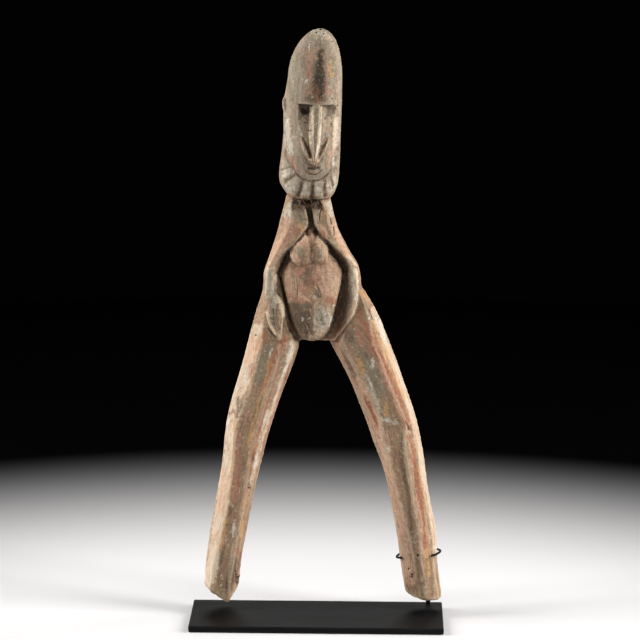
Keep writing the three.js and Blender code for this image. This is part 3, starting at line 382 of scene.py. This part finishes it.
def pixels_of(points):
    """Where points of the world show in the photograph's frame, as (across, down)."""
    away = points - np.array(camera_place)
    depth = away @ np.array(forward)
    across = IMAGE / 2 + FOCAL_PIXELS * (away @ np.array(right)) / depth
    down = IMAGE / 2 - FOCAL_PIXELS * (away @ np.array(up)) / depth
    return np.stack((across, down), axis=1)


def cover(pixels, line, softness=1.0):
    """How much of each pixel one place or a line of places covers, from 0 to 1."""
    line = np.atleast_2d(np.array(line, dtype=float))
    result = np.zeros(len(pixels))
    margin = line[:, 2].max() + softness + 1
    low = line[:, :2].min(axis=0) - margin
    high = line[:, :2].max(axis=0) + margin
    near = np.nonzero(((pixels > low) & (pixels < high)).all(axis=1))[0]
    if len(near) == 0:
        return result
    spots = pixels[near]
    best = np.full(len(near), -np.inf)
    if len(line) == 1:
        line = np.repeat(line, 2, axis=0)
    for start, end in zip(line[:-1], line[1:]):
        run = end[:2] - start[:2]
        length = max(float(run @ run), 1e-9)
        along = np.clip(((spots - start[:2]) @ run) / length, 0, 1)
        distance = np.linalg.norm(spots - start[:2] - along[:, None] * run, axis=1)
        best = np.maximum(best, start[2] + along * (end[2] - start[2]) - distance)
    result[near] = np.clip(best / softness + 0.5, 0, 1)
    return result


def reach_of(line):
    return np.atleast_2d(line)[:, 2].max()


def cover_all(pixels, lines, softness=1.0):
    return np.maximum.reduce([cover(pixels, line, softness) for line in lines])


def cover_softly(pixels, lines, share, least):
    """Covers as above, with an edge as soft as a share of each line's own reach."""
    softness = [max(least, share * reach_of(line)) for line in lines]
    return np.maximum.reduce([cover(pixels, line, soft) for line, soft in zip(lines, softness)])


# The fine mesh of the figure


def heights_of(points):
    """Heights above the figure's lowest point, in shares."""
    return (points[:, 2] - FIGURE_PLACE[2]) / SHARE


def head_and_legs(height):
    head = smooth_step(NECK - 0.5, NECK + 1, height)
    legs = 1 - smooth_step(CROTCH, CROTCH + 6, height)
    return head, legs


def arrays_of(mesh):
    points = np.empty(len(mesh.vertices) * 3)
    mesh.vertices.foreach_get("co", points)
    normals = np.empty(len(mesh.vertices) * 3)
    mesh.vertices.foreach_get("normal", normals)
    return points.reshape(-1, 3), normals.reshape(-1, 3)


def put_back(mesh, points):
    mesh.vertices.foreach_set("co", points.ravel())
    mesh.update()


def tree_of(mesh):
    points, _ = arrays_of(mesh)
    return BVHTree.FromPolygons(points.tolist(), [list(face.vertices) for face in mesh.polygons])


def facing_camera(points, normals):
    towards = np.array(camera_place) - points
    towards /= np.linalg.norm(towards, axis=1)[:, None]
    return (normals * towards).sum(axis=1)


def cut_finer(mesh, chosen):
    """Halves every edge between chosen vertices, which makes four faces of each face among them."""
    model = bmesh.new()
    model.from_mesh(mesh)
    model.verts.ensure_lookup_table()
    picked = set(np.nonzero(chosen)[0].tolist())
    edges = [edge for edge in model.edges if edge.verts[0].index in picked and edge.verts[1].index in picked]
    bmesh.ops.subdivide_edges(model, edges=edges, cuts=1, use_grid_fill=True)
    model.to_mesh(mesh)
    model.free()


def fine_figure():
    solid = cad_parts["carved_figure"]
    piece = placed("figure_carving", solid.data.copy())
    remesh = piece.modifiers.new("remesh", "REMESH")
    remesh.mode = "VOXEL"
    remesh.voxel_size = VOXEL
    shown = piece.evaluated_get(bpy.context.evaluated_depsgraph_get())
    mesh = bpy.data.meshes.new_from_object(shown)
    piece.modifiers.clear()
    piece.data = mesh
    mesh.name = "figure_carving"
    marks = [*CRACKS, *HOLES, *[line for line, _ in RISES + HOLLOWS]]
    for times in range(2):
        points, normals = arrays_of(mesh)
        pixels = pixels_of(points)
        front = facing_camera(points, normals) > FINE_FACING
        if times == 0:
            marked = cover_all(pixels, marks, MARK_MARGIN * 2) > 0
            torso = (heights_of(points) > CROTCH) & (pixels[:, 1] < TORSO_BOTTOM)
            chosen = front & (torso | marked)
        else:
            (left, top), (right_edge, bottom) = FACE_BOX
            chosen = front & (pixels[:, 0] > left) & (pixels[:, 0] < right_edge)
            chosen &= (pixels[:, 1] > top) & (pixels[:, 1] < bottom)
        cut_finer(mesh, chosen)
    return piece


def neighbours_mean(values, edges):
    total = np.zeros_like(values)
    count = np.zeros(len(values))
    for one, other in ((0, 1), (1, 0)):
        np.add.at(total, edges[:, one], values[edges[:, other]])
        np.add.at(count, edges[:, one], 1)
    return total / count[:, None] if values.ndim == 2 else total / count


def edges_of(mesh):
    edges = np.empty(len(mesh.edges) * 2, dtype=np.int64)
    mesh.edges.foreach_get("vertices", edges)
    return edges.reshape(-1, 2)


def back_onto_solid(points, solid_tree, reach):
    """Moves points to the nearest place of the solid's surface where that is within reach."""
    moved = points.copy()
    for i, point in enumerate(points.tolist()):
        place, _, _, distance = solid_tree.find_nearest(point)
        if distance is not None and distance < reach:
            moved[i] = place
    return moved


def limb_places(points):
    """Places measured along the limbs: across from the limb's middle, depth, and height, in metres."""
    height = heights_of(points)
    across = (points[:, 0] - FIGURE_PLACE[0]) / SHARE
    left = np.interp(height, LEFT_LEG_HEIGHTS, LEFT_LEG_MIDDLES)
    right_middle = np.interp(height, RIGHT_LEG_HEIGHTS, RIGHT_LEG_MIDDLES)
    # The belly comes down between the tops of the legs, with its grain upright
    leg_share = 1 - smooth_step(CROTCH, CROTCH + 8, height)
    leg_share *= np.where(height < CROTCH, 1, smooth_step(BELLY_HALF, BELLY_HALF + 3, np.abs(across)))
    middle = np.where(across < 0.5, left, right_middle)
    places = points.copy()
    places[:, 0] = points[:, 0] - middle * SHARE * leg_share
    return places


def sheltered(mesh):
    """The share of short rays from each point that meet the figure again: high in clefts and under brows."""
    points, normals = arrays_of(mesh)
    tree = tree_of(mesh)
    directions = []
    for i in range(SHELTER_RAYS):
        rise = (i + 0.5) / SHELTER_RAYS
        turn = i * math.pi * (3 - math.sqrt(5))
        flat = math.sqrt(1 - rise * rise)
        directions.append((flat * math.cos(turn), flat * math.sin(turn), rise))
    hits = np.zeros(len(points))
    for i, (point, normal) in enumerate(zip(points, normals)):
        axis = Vector(normal)
        start = Vector(point) + axis * SHELTER_START
        turned = axis.to_track_quat("Z", "Y").to_matrix()
        for direction in directions:
            if tree.ray_cast(start, turned @ Vector(direction), SHELTER_REACH)[0] is not None:
                hits[i] += 1
    return hits / SHELTER_RAYS


def facets_of(places, size, seed):
    """Shallow dishes as a blade leaves them: 0 in a dish's middle, about 1 at the crisp rim."""
    scaled = places / (np.asarray(size) * MM) + seed * 4.7
    return np.array([noise.voronoi(place)[0][0] for place in scaled.tolist()])


def smoothed(points, normals, height, edges):
    """Wears edges down, the skull's most; the belly and the chest have turns of their own."""
    pixels = pixels_of(points)
    seen = facing_camera(points, normals) > 0
    face = cover(pixels, FACE, 4) * seen
    softened = np.where(height > NECK + 2, 0.6 * (1 - face), 0.14)
    belly = cover(pixels, BELLY, 10) * seen
    chest = cover(pixels, CHEST_RIDGE, 2.5) * seen
    for region, turns in ((softened, EDGE_TURNS), (belly, BELLY_TURNS), (chest, CHEST_TURNS)):
        for _ in range(turns):
            points += (neighbours_mean(points, edges) - points) * (0.5 * region)[:, None]
    return chest


def carve(piece):
    """Moves the fine mesh's vertices: worn edges, adze marks, grain, cracks, holes and small forms."""
    mesh = piece.data
    tree = tree_of(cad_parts["carved_figure"].data)
    edges = edges_of(mesh)

    points, normals = arrays_of(mesh)
    points = back_onto_solid(points, tree, SOLID_REACH)
    height = heights_of(points)
    chest = smoothed(points, normals, height, edges)
    put_back(mesh, points)

    points, normals = arrays_of(mesh)
    pixels = pixels_of(points)
    front = smooth_step(0.0, 0.25, facing_camera(points, normals))
    limb = limb_places(points)
    wobble = np.stack([noise_of(points, 3.5, seed) for seed in (1, 2)], axis=1) * 0.7
    wavy = pixels + wobble
    head, legs = head_and_legs(height)
    body = 1 - np.maximum(head, legs)
    lowest = 1 - smooth_step(2, 16, height)

    move = SWELL * noise_of(limb, (16, 16, 60), 3) * (1 - 0.6 * head)
    # Grain that the weather has raised along the limbs, and a crumbly crust of old pigment
    for places, waves in ((limb, GRAIN), (points, CRUST)):
        for size, seed, depths in waves:
            depth = sum(deep * part for deep, part in zip(depths, (legs, body, head)))
            move += depth * noise_of(places, size, seed)
    # The blade's marks: long on the legs, short on the torso and arms, faint on the head
    long_cuts = facets_of(limb, (11, 11, 40), 1)
    short_cuts = facets_of(points, (7.5, 7.5, 12), 2)
    move += LEG_FACET * (long_cuts - 0.5) * legs
    move += (BODY_FACET * body + HEAD_FACET * head) * (short_cuts - 0.5)
    # Ends of the legs are weathered into ribs
    move += RIB * lowest * noise_of(limb, (3.4, 3.4, 26), 18)
    # Long drying cracks along the grain, mostly where the camera doesn't look
    check = np.abs(noise_of(limb, (9, 9, 120), 7))
    checks = (1 - smooth_step(0.0, 0.02, check)) * smooth_step(0.1, 0.4, noise_of(limb, 45, 8)) * (1 - head)
    checks *= 1 - 0.92 * front * (1 - lowest)
    move -= CHECK * checks

    for lines, sign in ((RISES, 1), (HOLLOWS, -1)):
        for line, depth in lines:
            move += sign * depth * cover(wavy, line, reach_of(line) * 1.4) * front
    cracks = cover_all(wavy, CRACKS, 1.2) * front
    holes = cover_all(pixels, HOLES) * front
    crumbly = np.zeros(len(points))
    regions = ((KNEE, 4, 1), (LOWER_LEFT, 4, 0.5), (LOWER_RIGHT, 3, 1), (UNDER_BEARD, 3, 1))
    for line, softness, amount in regions:
        crumbly = np.maximum(crumbly, cover(wavy, line, softness) * front * amount)
    move -= CRACK * cracks
    move -= HOLE * holes
    move += CRUMB * crumbly * noise_of(points, 3, 9)

    points += normals * (move * MM)[:, None]
    put_back(mesh, points)
    shelter = sheltered(mesh)
    for _ in range(2):
        shelter = 0.5 * shelter + 0.5 * neighbours_mean(shelter, edges)
    points, normals = arrays_of(mesh)
    evened = points.copy()
    for _ in range(5):
        evened = 0.4 * evened + 0.6 * neighbours_mean(evened, edges)
    proud = ((points - evened) * normals).sum(axis=1) / MM
    return {"cracks": cracks, "holes": holes, "shelter": shelter, "proud": proud, "front": front,
            "checks": checks, "chest": chest}


def paint_masks(piece, carved):
    """Writes where each pigment, stain, bare wood, painted shade and painted light lies as attributes of the
    mesh.
    """
    mesh = piece.data
    points, normals = arrays_of(mesh)
    limb = limb_places(points)
    pixels = pixels_of(points)
    height = heights_of(points)
    head, legs = head_and_legs(height)
    # The edges of a stain run out along the grain of the legs
    wavy = pixels.copy()
    for axis, run in ((0, 1.5), (1, 3.0)):
        wavy[:, axis] += run * legs * noise_of(limb, (4, 4, 22), 11 + axis)
        wavy[:, axis] += 1.3 * noise_of(points, 5.5, 21 + axis)
        wavy[:, axis] += 0.7 * noise_of(points, 2.4, 23 + axis)
    front = carved["front"]
    hidden = 1 - front
    side = np.abs(normals[:, 0])
    back = smooth_step(0.1, 0.5, normals[:, 1])
    patchy = noise_of(limb, (14, 14, 45), 13)
    streaky = noise_of(limb, (6, 6, 60), 14)
    fine = noise_of(limb, (3, 3, 14), 15)
    # The shelter of short rays darkens the clefts, the places under the brows and the band under the beard
    # with dirt and painted shade. The inner side of the forearm on the viewer's left is lit, so it gets
    # little of that.
    inner = cover(pixels, FOREARM_INSIDE, 3) * front
    cleft_dirt_and_shade = smooth_step(0.35, 0.85, carved["shelter"]) * (1 - 0.9 * inner)
    core = cover(wavy, SKULL_CORE, 9) * front
    ridged = 1 - 0.8 * carved["chest"]
    rusty = smooth_step(0.3, 0.55, patchy + 0.3 * fine)

    def drawn(lines, share=1.1, also=0, least=1.2):
        return np.maximum(cover_softly(wavy, lines, share, least) * front, also)

    masks = {
        "taupe": drawn(TAUPE_FACETS, 0.45, 0.35 * hidden * legs),
        # Pale paint, and painted light on the sides of the legs that face left or right
        "pale": drawn(PALE_FACETS, 0.35, 0.6 * hidden * legs * smooth_step(0.55, 0.85, side)),
        "dusk": drawn(DUSK, 0.6),
        "bone": drawn(BONE, 1.5),
        "cream": drawn(CREAM),
        "peach": drawn(PEACH, 1.3, hidden * legs * smooth_step(0.1, 0.5, streaky) * 0.8),
        "ash": np.maximum(head * (1 - 0.8 * core), hidden * back * 0.5 * smooth_step(-0.2, 0.4, patchy)),
        "slate": drawn(SLATE, 1.5, back * smooth_step(0.05, 0.5, -patchy) * 0.7),
        "ochre": drawn(OCHRE, 1.3, hidden * smooth_step(0.25, 0.5, streaky) * 0.7 * (1 - head)),
        "rust": drawn(RUST, 1.2, hidden * rusty * legs * 0.8),
        "brick": drawn(BRICK, 1.0),
        "rose": drawn(ROSE, 1.5),
        # Umber stain, with dirt and painted shade in the clefts from the shelter of short rays
        "umber_and_shade": drawn(UMBER_AND_SHADE, 1.2, 0.35 * cleft_dirt_and_shade) * ridged,
        # Soot, and painted shade in the eyes, under the beard and in the creases between the arms and the
        # body
        "soot_and_shade": drawn(SOOT_AND_SHADE, 1.0, least=1.1),
        "chalk_and_highlight": drawn(CHALK_AND_HIGHLIGHT, 1.0),
        "crack": np.maximum(np.maximum(carved["cracks"], carved["holes"] * 1.2), 0.7 * carved["checks"]),
        "raw": (1 - smooth_step(0.5, 5.0, height)) * (0.6 + 0.4 * patchy) * (1 - 0.3 * cleft_dirt_and_shade),
        "proud": 0.5 + 1.6 * carved["proud"] * ridged,
        "headed": head,
    }
    for name, values in masks.items():
        layer = mesh.attributes.new(name, "FLOAT", "POINT")
        layer.data.foreach_set("value", np.clip(values, 0, 1).astype(np.float32))
    place = mesh.attributes.new("grain_place", "FLOAT_VECTOR", "POINT")
    place.data.foreach_set("vector", limb.astype(np.float32).ravel())


# Fibres that cling under the beard, and one loose strand at a foot

FIBRE_COUNT = 220
FIBRE_RADIUS = 0.3 * MM
FIBRE_SIDES = 3
FIBRE_STEPS = 5
FIBRE_SHORTEST = 3.0 * MM
FIBRE_LONGEST = 9.0 * MM
FIBRE_LEFT = 293
FIBRE_RIGHT = 321
FIBRE_TOP = 197.5
FIBRE_BOTTOM = 204
STRAND_BENDS = ((281.6, 103.4), (279.4, 102.8), (277.4, 103.6))  # only their steps count


def on_figure(tree, across, down):
    """Where the camera's ray through a pixel meets the figure, or None."""
    ray = forward + ((across - IMAGE / 2) * right - (down - IMAGE / 2) * up) / FOCAL_PIXELS
    return tree.ray_cast(camera_place, ray.normalized())[0]


def add_fibre(model, route, radius):
    """A thin closed thread with pointed ends."""
    rings = []
    for i, place in enumerate(route):
        ahead = route[min(i + 1, len(route) - 1)] - route[max(i - 1, 0)]
        turn = ahead.to_track_quat("Z", "Y").to_matrix()
        thin = radius * (0.35 if i in (0, len(route) - 1) else 1.0)
        angles = [2 * math.pi * k / FIBRE_SIDES for k in range(FIBRE_SIDES)]
        rings.append([model.verts.new(place + turn @ Vector((thin * math.cos(a), thin * math.sin(a), 0)))
                      for a in angles])
    for low, high in zip(rings[:-1], rings[1:]):
        for k in range(FIBRE_SIDES):
            after = (k + 1) % FIBRE_SIDES
            model.faces.new((low[k], low[after], high[after], high[k]))
    model.faces.new(rings[0][::-1])
    model.faces.new(rings[-1])


def fibres(figure):
    """Dark plant fibre left under the beard, and a loose strand at the foot on the viewer's left."""
    tree = tree_of(figure.data)
    draw = np.random.default_rng(5)
    model = bmesh.new()
    for _ in range(FIBRE_COUNT):
        across = draw.uniform(FIBRE_LEFT, FIBRE_RIGHT)
        down = draw.uniform(FIBRE_TOP, FIBRE_BOTTOM)
        place = on_figure(tree, across, down)
        heading = Vector((draw.normal(0, 1.0), draw.normal(0, 0.3), -1.0 - draw.uniform(0, 0.8)))
        heading.normalize()
        length = draw.uniform(FIBRE_SHORTEST, FIBRE_LONGEST)
        bend = Vector((draw.normal(0, 0.5), -draw.uniform(0, 0.5), draw.normal(0, 0.4)))
        if place is None:
            continue
        route = []
        for step in range(FIBRE_STEPS):
            share = step / (FIBRE_STEPS - 1)
            spot = place + heading * (length * share) + bend * (length * share * share * 0.6)
            near, out, _, _ = tree.find_nearest(spot)
            route.append(near + out * (FIBRE_RADIUS + 0.5 * MM * share))
        add_fibre(model, route, FIBRE_RADIUS)
    # The strand starts at the place of the figure that is nearest to the frame's origin
    foot = tree.find_nearest(Vector((0, 0, 0)))[0]
    scale = (foot - camera_place).dot(forward) / FOCAL_PIXELS
    first_across, first_down = STRAND_BENDS[0]
    strand = [foot + ((across - first_across) * right - (down - first_down) * up) * scale
              for across, down in STRAND_BENDS]
    add_fibre(model, strand, FIBRE_RADIUS * 0.7)
    return placed("clinging_fibres", mesh_from(model, "clinging_fibres"))


# Materials


def paint(red, green, blue):
    """A colour given in the 0 to 255 values of a screen."""
    def linear(value):
        value /= 255
        return value / 12.92 if value <= 0.04045 else ((value + 0.055) / 1.055) ** 2.4
    return (linear(red), linear(green), linear(blue), 1.0)


class Shader:
    """A material's node tree, with short ways to add nodes and wire them."""

    def __init__(self, name):
        self.material = bpy.data.materials.new(name)
        self.material.use_nodes = True
        self.tree = self.material.node_tree
        self.surface = self.tree.nodes["Principled BSDF"]

    def wire(self, source, target):
        if isinstance(source, (int, float, tuple)):
            target.default_value = source
        else:
            self.tree.links.new(source, target)

    def give(self, name, source):
        self.wire(source, self.surface.inputs[name])

    def attribute(self, name, output="Fac"):
        node = self.tree.nodes.new("ShaderNodeAttribute")
        node.attribute_name = name
        return node.outputs[output]

    def maths(self, operation, *sources):
        node = self.tree.nodes.new("ShaderNodeMath")
        node.operation = operation
        for source, target in zip(sources, node.inputs):
            self.wire(source, target)
        return node.outputs[0]

    def stretched(self, place, size):
        node = self.tree.nodes.new("ShaderNodeMapping")
        self.wire(place, node.inputs["Vector"])
        node.inputs["Scale"].default_value = size
        return node.outputs[0]

    def noise(self, place, scale, detail=3.0, roughness=0.5):
        node = self.tree.nodes.new("ShaderNodeTexNoise")
        self.wire(place, node.inputs["Vector"])
        node.inputs["Scale"].default_value = scale
        node.inputs["Detail"].default_value = detail
        node.inputs["Roughness"].default_value = roughness
        return node.outputs["Fac"]

    def speckle(self, place, scale):
        node = self.tree.nodes.new("ShaderNodeTexVoronoi")
        self.wire(place, node.inputs["Vector"])
        node.inputs["Scale"].default_value = scale
        return node.outputs["Distance"]

    def between(self, value, low, high, new_low=0.0, new_high=1.0):
        node = self.tree.nodes.new("ShaderNodeMapRange")
        node.interpolation_type = "SMOOTHSTEP"
        self.wire(value, node.inputs["Value"])
        numbers = {"From Min": low, "From Max": high, "To Min": new_low, "To Max": new_high}
        for name, number in numbers.items():
            node.inputs[name].default_value = number
        return node.outputs["Result"]

    def mix(self, factor, one, other, way="MIX"):
        node = self.tree.nodes.new("ShaderNodeMix")
        node.data_type = "RGBA"
        node.blend_type = way
        self.wire(factor, node.inputs["Factor"])
        self.wire(one, node.inputs[6])
        self.wire(other, node.inputs[7])
        return node.outputs[2]

    def bump(self, height, distance, strength, below=None):
        node = self.tree.nodes.new("ShaderNodeBump")
        node.inputs["Distance"].default_value = distance
        node.inputs["Strength"].default_value = strength
        self.wire(height, node.inputs["Height"])
        if below is not None:
            self.wire(below, node.inputs["Normal"])
        return node.outputs[0]


# Pigments, and the painted light and shade that some of their masks carry, from the lowest to the highest:
# mask, two colours it varies between, raggedness and opacity
PIGMENTS = (
    ("taupe", (158, 128, 102), (136, 110, 88), 0.5, 0.85),
    ("pale", (216, 199, 178), (204, 178, 154), 0.5, 0.9),
    ("ash", (166, 154, 136), (142, 130, 114), 0.6, 0.85),
    ("bone", (204, 196, 180), (188, 179, 163), 0.8, 0.82),
    ("cream", (226, 204, 176), (208, 182, 152), 0.7, 0.8),
    ("peach", (215, 173, 145), (198, 160, 135), 0.7, 0.8),
    ("raw", (182, 152, 116), (150, 122, 90), 0.5, 0.7),
    ("dusk", (112, 98, 84), (96, 80, 66), 0.5, 0.85),
    ("slate", (138, 134, 112), (118, 110, 92), 0.8, 0.75),
    ("ochre", (206, 158, 104), (178, 132, 84), 0.6, 0.85),
    ("rose", (178, 126, 108), (160, 108, 90), 0.6, 0.68),
    ("rust", (178, 110, 78), (154, 92, 66), 0.6, 0.78),
    ("brick", (146, 84, 60), (126, 74, 54), 0.6, 0.72),
    ("umber_and_shade", (116, 98, 80), (92, 76, 60), 0.7, 0.8),
    ("soot_and_shade", (35, 28, 23), (50, 41, 34), 0.6, 0.88),
    ("chalk_and_highlight", (226, 218, 206), (204, 193, 178), 0.8, 0.82),
    ("crack", (44, 32, 25), (60, 46, 36), 0.3, 0.85),
)


def painted_wood():
    shader = Shader("carved_wood")
    place = shader.attribute("grain_place", "Vector")
    along = shader.stretched(place, (1.0, 1.0, 0.12))
    # Grain is long on the limbs, and on the head the crust is a plain speckle
    fibre = shader.noise(along, 720, 4, 0.65)
    streak = shader.noise(along, 230, 4, 0.6)
    blotch = shader.noise(place, 62, 5, 0.6)
    crust = shader.noise(place, 300, 5, 0.7)
    grit = shader.noise(place, 820, 3, 0.75)
    tint = shader.noise(shader.stretched(place, (1.0, 1.0, 0.3)), 110, 5, 0.7)
    headed = shader.attribute("headed")
    grained = shader.maths("MULTIPLY_ADD", headed, -0.45, 0.55)
    crusted = shader.maths("MULTIPLY", crust, shader.maths("MULTIPLY_ADD", headed, 0.45, 0.45))
    ragged = shader.between(shader.maths("MULTIPLY_ADD", streak, grained, crusted), 0.38, 0.62)

    colour = shader.mix(shader.between(blotch, 0.38, 0.62), paint(150, 120, 95), paint(172, 143, 116))
    colour = shader.mix(shader.between(streak, 0.48, 0.66, 0.0, 0.35), colour, paint(134, 112, 90))
    for name, first, second, raggedness, opacity in PIGMENTS:
        shade = shader.mix(shader.between(tint, 0.40, 0.60), paint(*first), paint(*second))
        spread = shader.maths("MULTIPLY_ADD", shader.maths("SUBTRACT", ragged, 0.5), raggedness,
                              shader.attribute(name))
        colour = shader.mix(shader.between(spread, 0.22, 0.82, 0.0, opacity), colour, shade)
    proud = shader.attribute("proud")
    bare = shader.maths("MULTIPLY_ADD", shader.attribute("soot_and_shade"), -0.85, 1.0)
    # Dark crust is held back on the pale facets, whose mask carries painted light on the legs' sides
    worn = shader.maths("MULTIPLY_ADD", shader.attribute("pale"), -0.7, 1.0)
    # Each row: what it follows, from and to, how much, what holds it back, and its colour
    overlays = (
        # Traces of the other pigments through each tone
        (tint, 0.54, 0.68, 0.34, None, (178, 118, 88)),
        (tint, 0.46, 0.32, 0.36, None, (132, 130, 106)),
        # Rubbed ridges are paler and dirt lies in the low places
        (proud, 0.58, 0.95, 0.34, None, (226, 206, 178)),
        (proud, 0.45, 0.10, 0.55, None, (84, 68, 54)),
        # Fine grain, grit and crust break up every tone, but soot and painted shade hide the pale of them
        (fibre, 0.44, 0.68, 0.34, None, (150, 132, 114)),
        (grit, 0.54, 0.68, 0.14, bare, (226, 214, 196)),
        (grit, 0.46, 0.34, 0.36, None, (86, 72, 58)),
        (crust, 0.46, 0.32, 0.50, worn, (92, 78, 64)),
        (crust, 0.55, 0.68, 0.36, bare, (214, 198, 174)),
    )
    for value, low, high, most, hold, tone in overlays:
        share = shader.between(value, low, high, 0.0, most)
        if hold is not None:
            share = shader.maths("MULTIPLY", share, hold)
        colour = shader.mix(share, colour, paint(*tone), "MULTIPLY" if value is fibre else "MIX")
    shader.give("Base Color", colour)
    shader.give("Roughness", shader.between(ragged, 0.3, 0.7, 0.75, 0.95))
    shader.give("Specular IOR Level", 0.25)

    coarse = shader.bump(fibre, 0.0008, 0.4)
    rough = shader.bump(crust, 0.0022, 0.55, coarse)
    finest = shader.bump(grit, 0.0009, 0.5, rough)
    shader.give("Normal", finest)
    return shader.material


def dark_fibre():
    """Dry brown plant fibre."""
    shader = Shader("dark_fibre")
    place = object_place(shader)
    tone = shader.between(shader.noise(place, 260, 3), 0.40, 0.60)
    shader.give("Base Color", shader.mix(tone, paint(46, 34, 25), paint(128, 102, 76)))
    strand = shader.noise(shader.stretched(place, (1, 1, 0.2)), 2600, 2)
    shader.give("Normal", shader.bump(strand, 0.0001, 0.4))
    shader.give("Roughness", 0.85)
    return shader.material


def object_place(shader):
    return shader.tree.nodes.new("ShaderNodeTexCoord").outputs["Object"]


def black_steel():
    """Satin black paint with a slight orange peel, rubbed edges and dust."""
    shader = Shader("black_steel")
    place = object_place(shader)
    peel = shader.noise(place, 1400, 2)
    smear = shader.noise(shader.stretched(place, (0.5, 1.0, 1.0)), 22, 5, 0.6)
    dust = shader.speckle(place, 310)
    patch = shader.between(shader.noise(place, 16, 2), 0.45, 0.62)
    specks = shader.maths("MULTIPLY", shader.between(dust, 0.10, 0.04), patch)
    worn = shader.tree.nodes.new("ShaderNodeBevel")
    worn.inputs["Radius"].default_value = 0.0007
    edge = shader.tree.nodes.new("ShaderNodeVectorMath")
    edge.operation = "DOT_PRODUCT"
    geometry = shader.tree.nodes.new("ShaderNodeNewGeometry")
    shader.wire(worn.outputs[0], edge.inputs[0])
    shader.wire(geometry.outputs["Normal"], edge.inputs[1])
    rubbed = shader.between(edge.outputs["Value"], 0.99, 0.90)

    colour = shader.mix(shader.between(smear, 0.35, 0.7), paint(9, 9, 10), paint(15, 15, 16))
    colour = shader.mix(shader.maths("MULTIPLY", rubbed, 0.4), colour, paint(74, 72, 70))
    colour = shader.mix(shader.maths("MULTIPLY", specks, 0.6), colour, paint(150, 148, 144))
    shader.give("Base Color", colour)
    shader.give("Roughness", shader.between(smear, 0.3, 0.7, 0.40, 0.55))
    shader.give("Specular IOR Level", 0.1)
    shader.give("Normal", shader.bump(peel, 0.0001, 0.25))
    return shader.material


# The stage

# The floor's colour fades from pale near its middle to near black far out, a painted falloff of light
FLOOR_RADIUS = 2.2
PALE_WITHIN = 0.24
DARK_BEYOND = 0.94
FLOOR_DROP = 0.0005

# The lamps: place, width and height in metres, and power in watts
LAMP_AIM = (0, 0.02, 0.3)
LAMP_COLOUR = (1.0, 0.985, 0.96)
LAMPS = (
    ("left_softbox", (-1.45, -0.18, 0.9), (0.8, 1.1), 37),
    ("right_softbox", (1.32, -0.42, 0.9), (0.7, 1.0), 33),
    ("left_rim", (-1.4, 0.6, 0.8), (0.6, 1.0), 5),
    ("right_rim", (1.4, 0.6, 0.8), (0.6, 1.0), 9),
    ("front_fill", (0.2, -1.8, 1.4), (1.0, 0.8), 3.5),
    ("back_fill", (0, 1.8, 1.3), (1.2, 0.8), 7),
)


def floor_material():
    shader = Shader("studio_floor")
    place = object_place(shader)
    reach = shader.tree.nodes.new("ShaderNodeVectorMath")
    reach.operation = "LENGTH"
    shader.wire(place, reach.inputs[0])
    # Painted shade: darker with distance from the floor's middle
    painted_floor_shade = shader.between(reach.outputs["Value"], PALE_WITHIN, DARK_BEYOND)
    colour = shader.mix(painted_floor_shade, paint(215, 215, 217), paint(4, 4, 5))
    shader.give("Base Color", colour)
    shader.give("Roughness", 0.8)
    shader.give("Specular IOR Level", 0.0)
    return shader.material


def stage():
    model = bmesh.new()
    bmesh.ops.create_circle(model, cap_ends=True, segments=96, radius=FLOOR_RADIUS)
    mesh = mesh_from(model, "studio_floor")
    floor = placed("studio_floor", mesh)
    floor.location.z = -FLOOR_DROP
    mesh.materials.append(floor_material())
    world = bpy.data.worlds.new("dark_studio")
    bpy.context.scene.world = world
    world.use_nodes = True
    sky = world.node_tree.nodes["Background"].inputs
    sky["Color"].default_value = (0.9, 0.95, 1.0, 1.0)
    sky["Strength"].default_value = 0.0006


def lights():
    for name, place, size, power in LAMPS:
        data = bpy.data.lights.new(name, "AREA")
        data.shape = "RECTANGLE"
        data.size, data.size_y = size
        data.energy = power
        data.color = LAMP_COLOUR
        lamp = placed(name, data)
        lamp.location = place
        lamp.rotation_euler = (Vector(LAMP_AIM) - Vector(place)).to_track_quat("-Z", "Y").to_euler()
        lamp.visible_camera = False


def camera():
    data = bpy.data.cameras.new("camera")
    data.sensor_width = SENSOR_MM
    data.lens = FOCAL_PIXELS / IMAGE * SENSOR_MM
    data.clip_end = 50
    lens = placed("camera", data)
    turn = Matrix((right, up, -forward)).transposed().to_4x4()
    lens.matrix_world = Matrix.Translation(camera_place) @ turn
    bpy.context.scene.camera = lens


def main():
    camera()
    stage()
    lights()
    bpy.context.scene.view_settings.view_transform = "Standard"

    figure = fine_figure()
    carved = carve(figure)
    paint_masks(figure, carved)
    figure.data.materials.clear()
    figure.data.materials.append(painted_wood())
    figure.data.shade_smooth()
    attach(figure, "root")
    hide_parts("carved_figure")
    triangles = sum(len(face.vertices) - 2 for face in figure.data.polygons)
    print("figure triangles", triangles)
    threads = fibres(figure)
    threads.data.materials.append(dark_fibre())
    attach(threads, "root")

    steel = black_steel()
    for name in ("base_plate", "support_rod", "leg_clip"):
        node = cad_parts[name]
        node.data.materials.clear()
        node.data.materials.append(steel)


main()
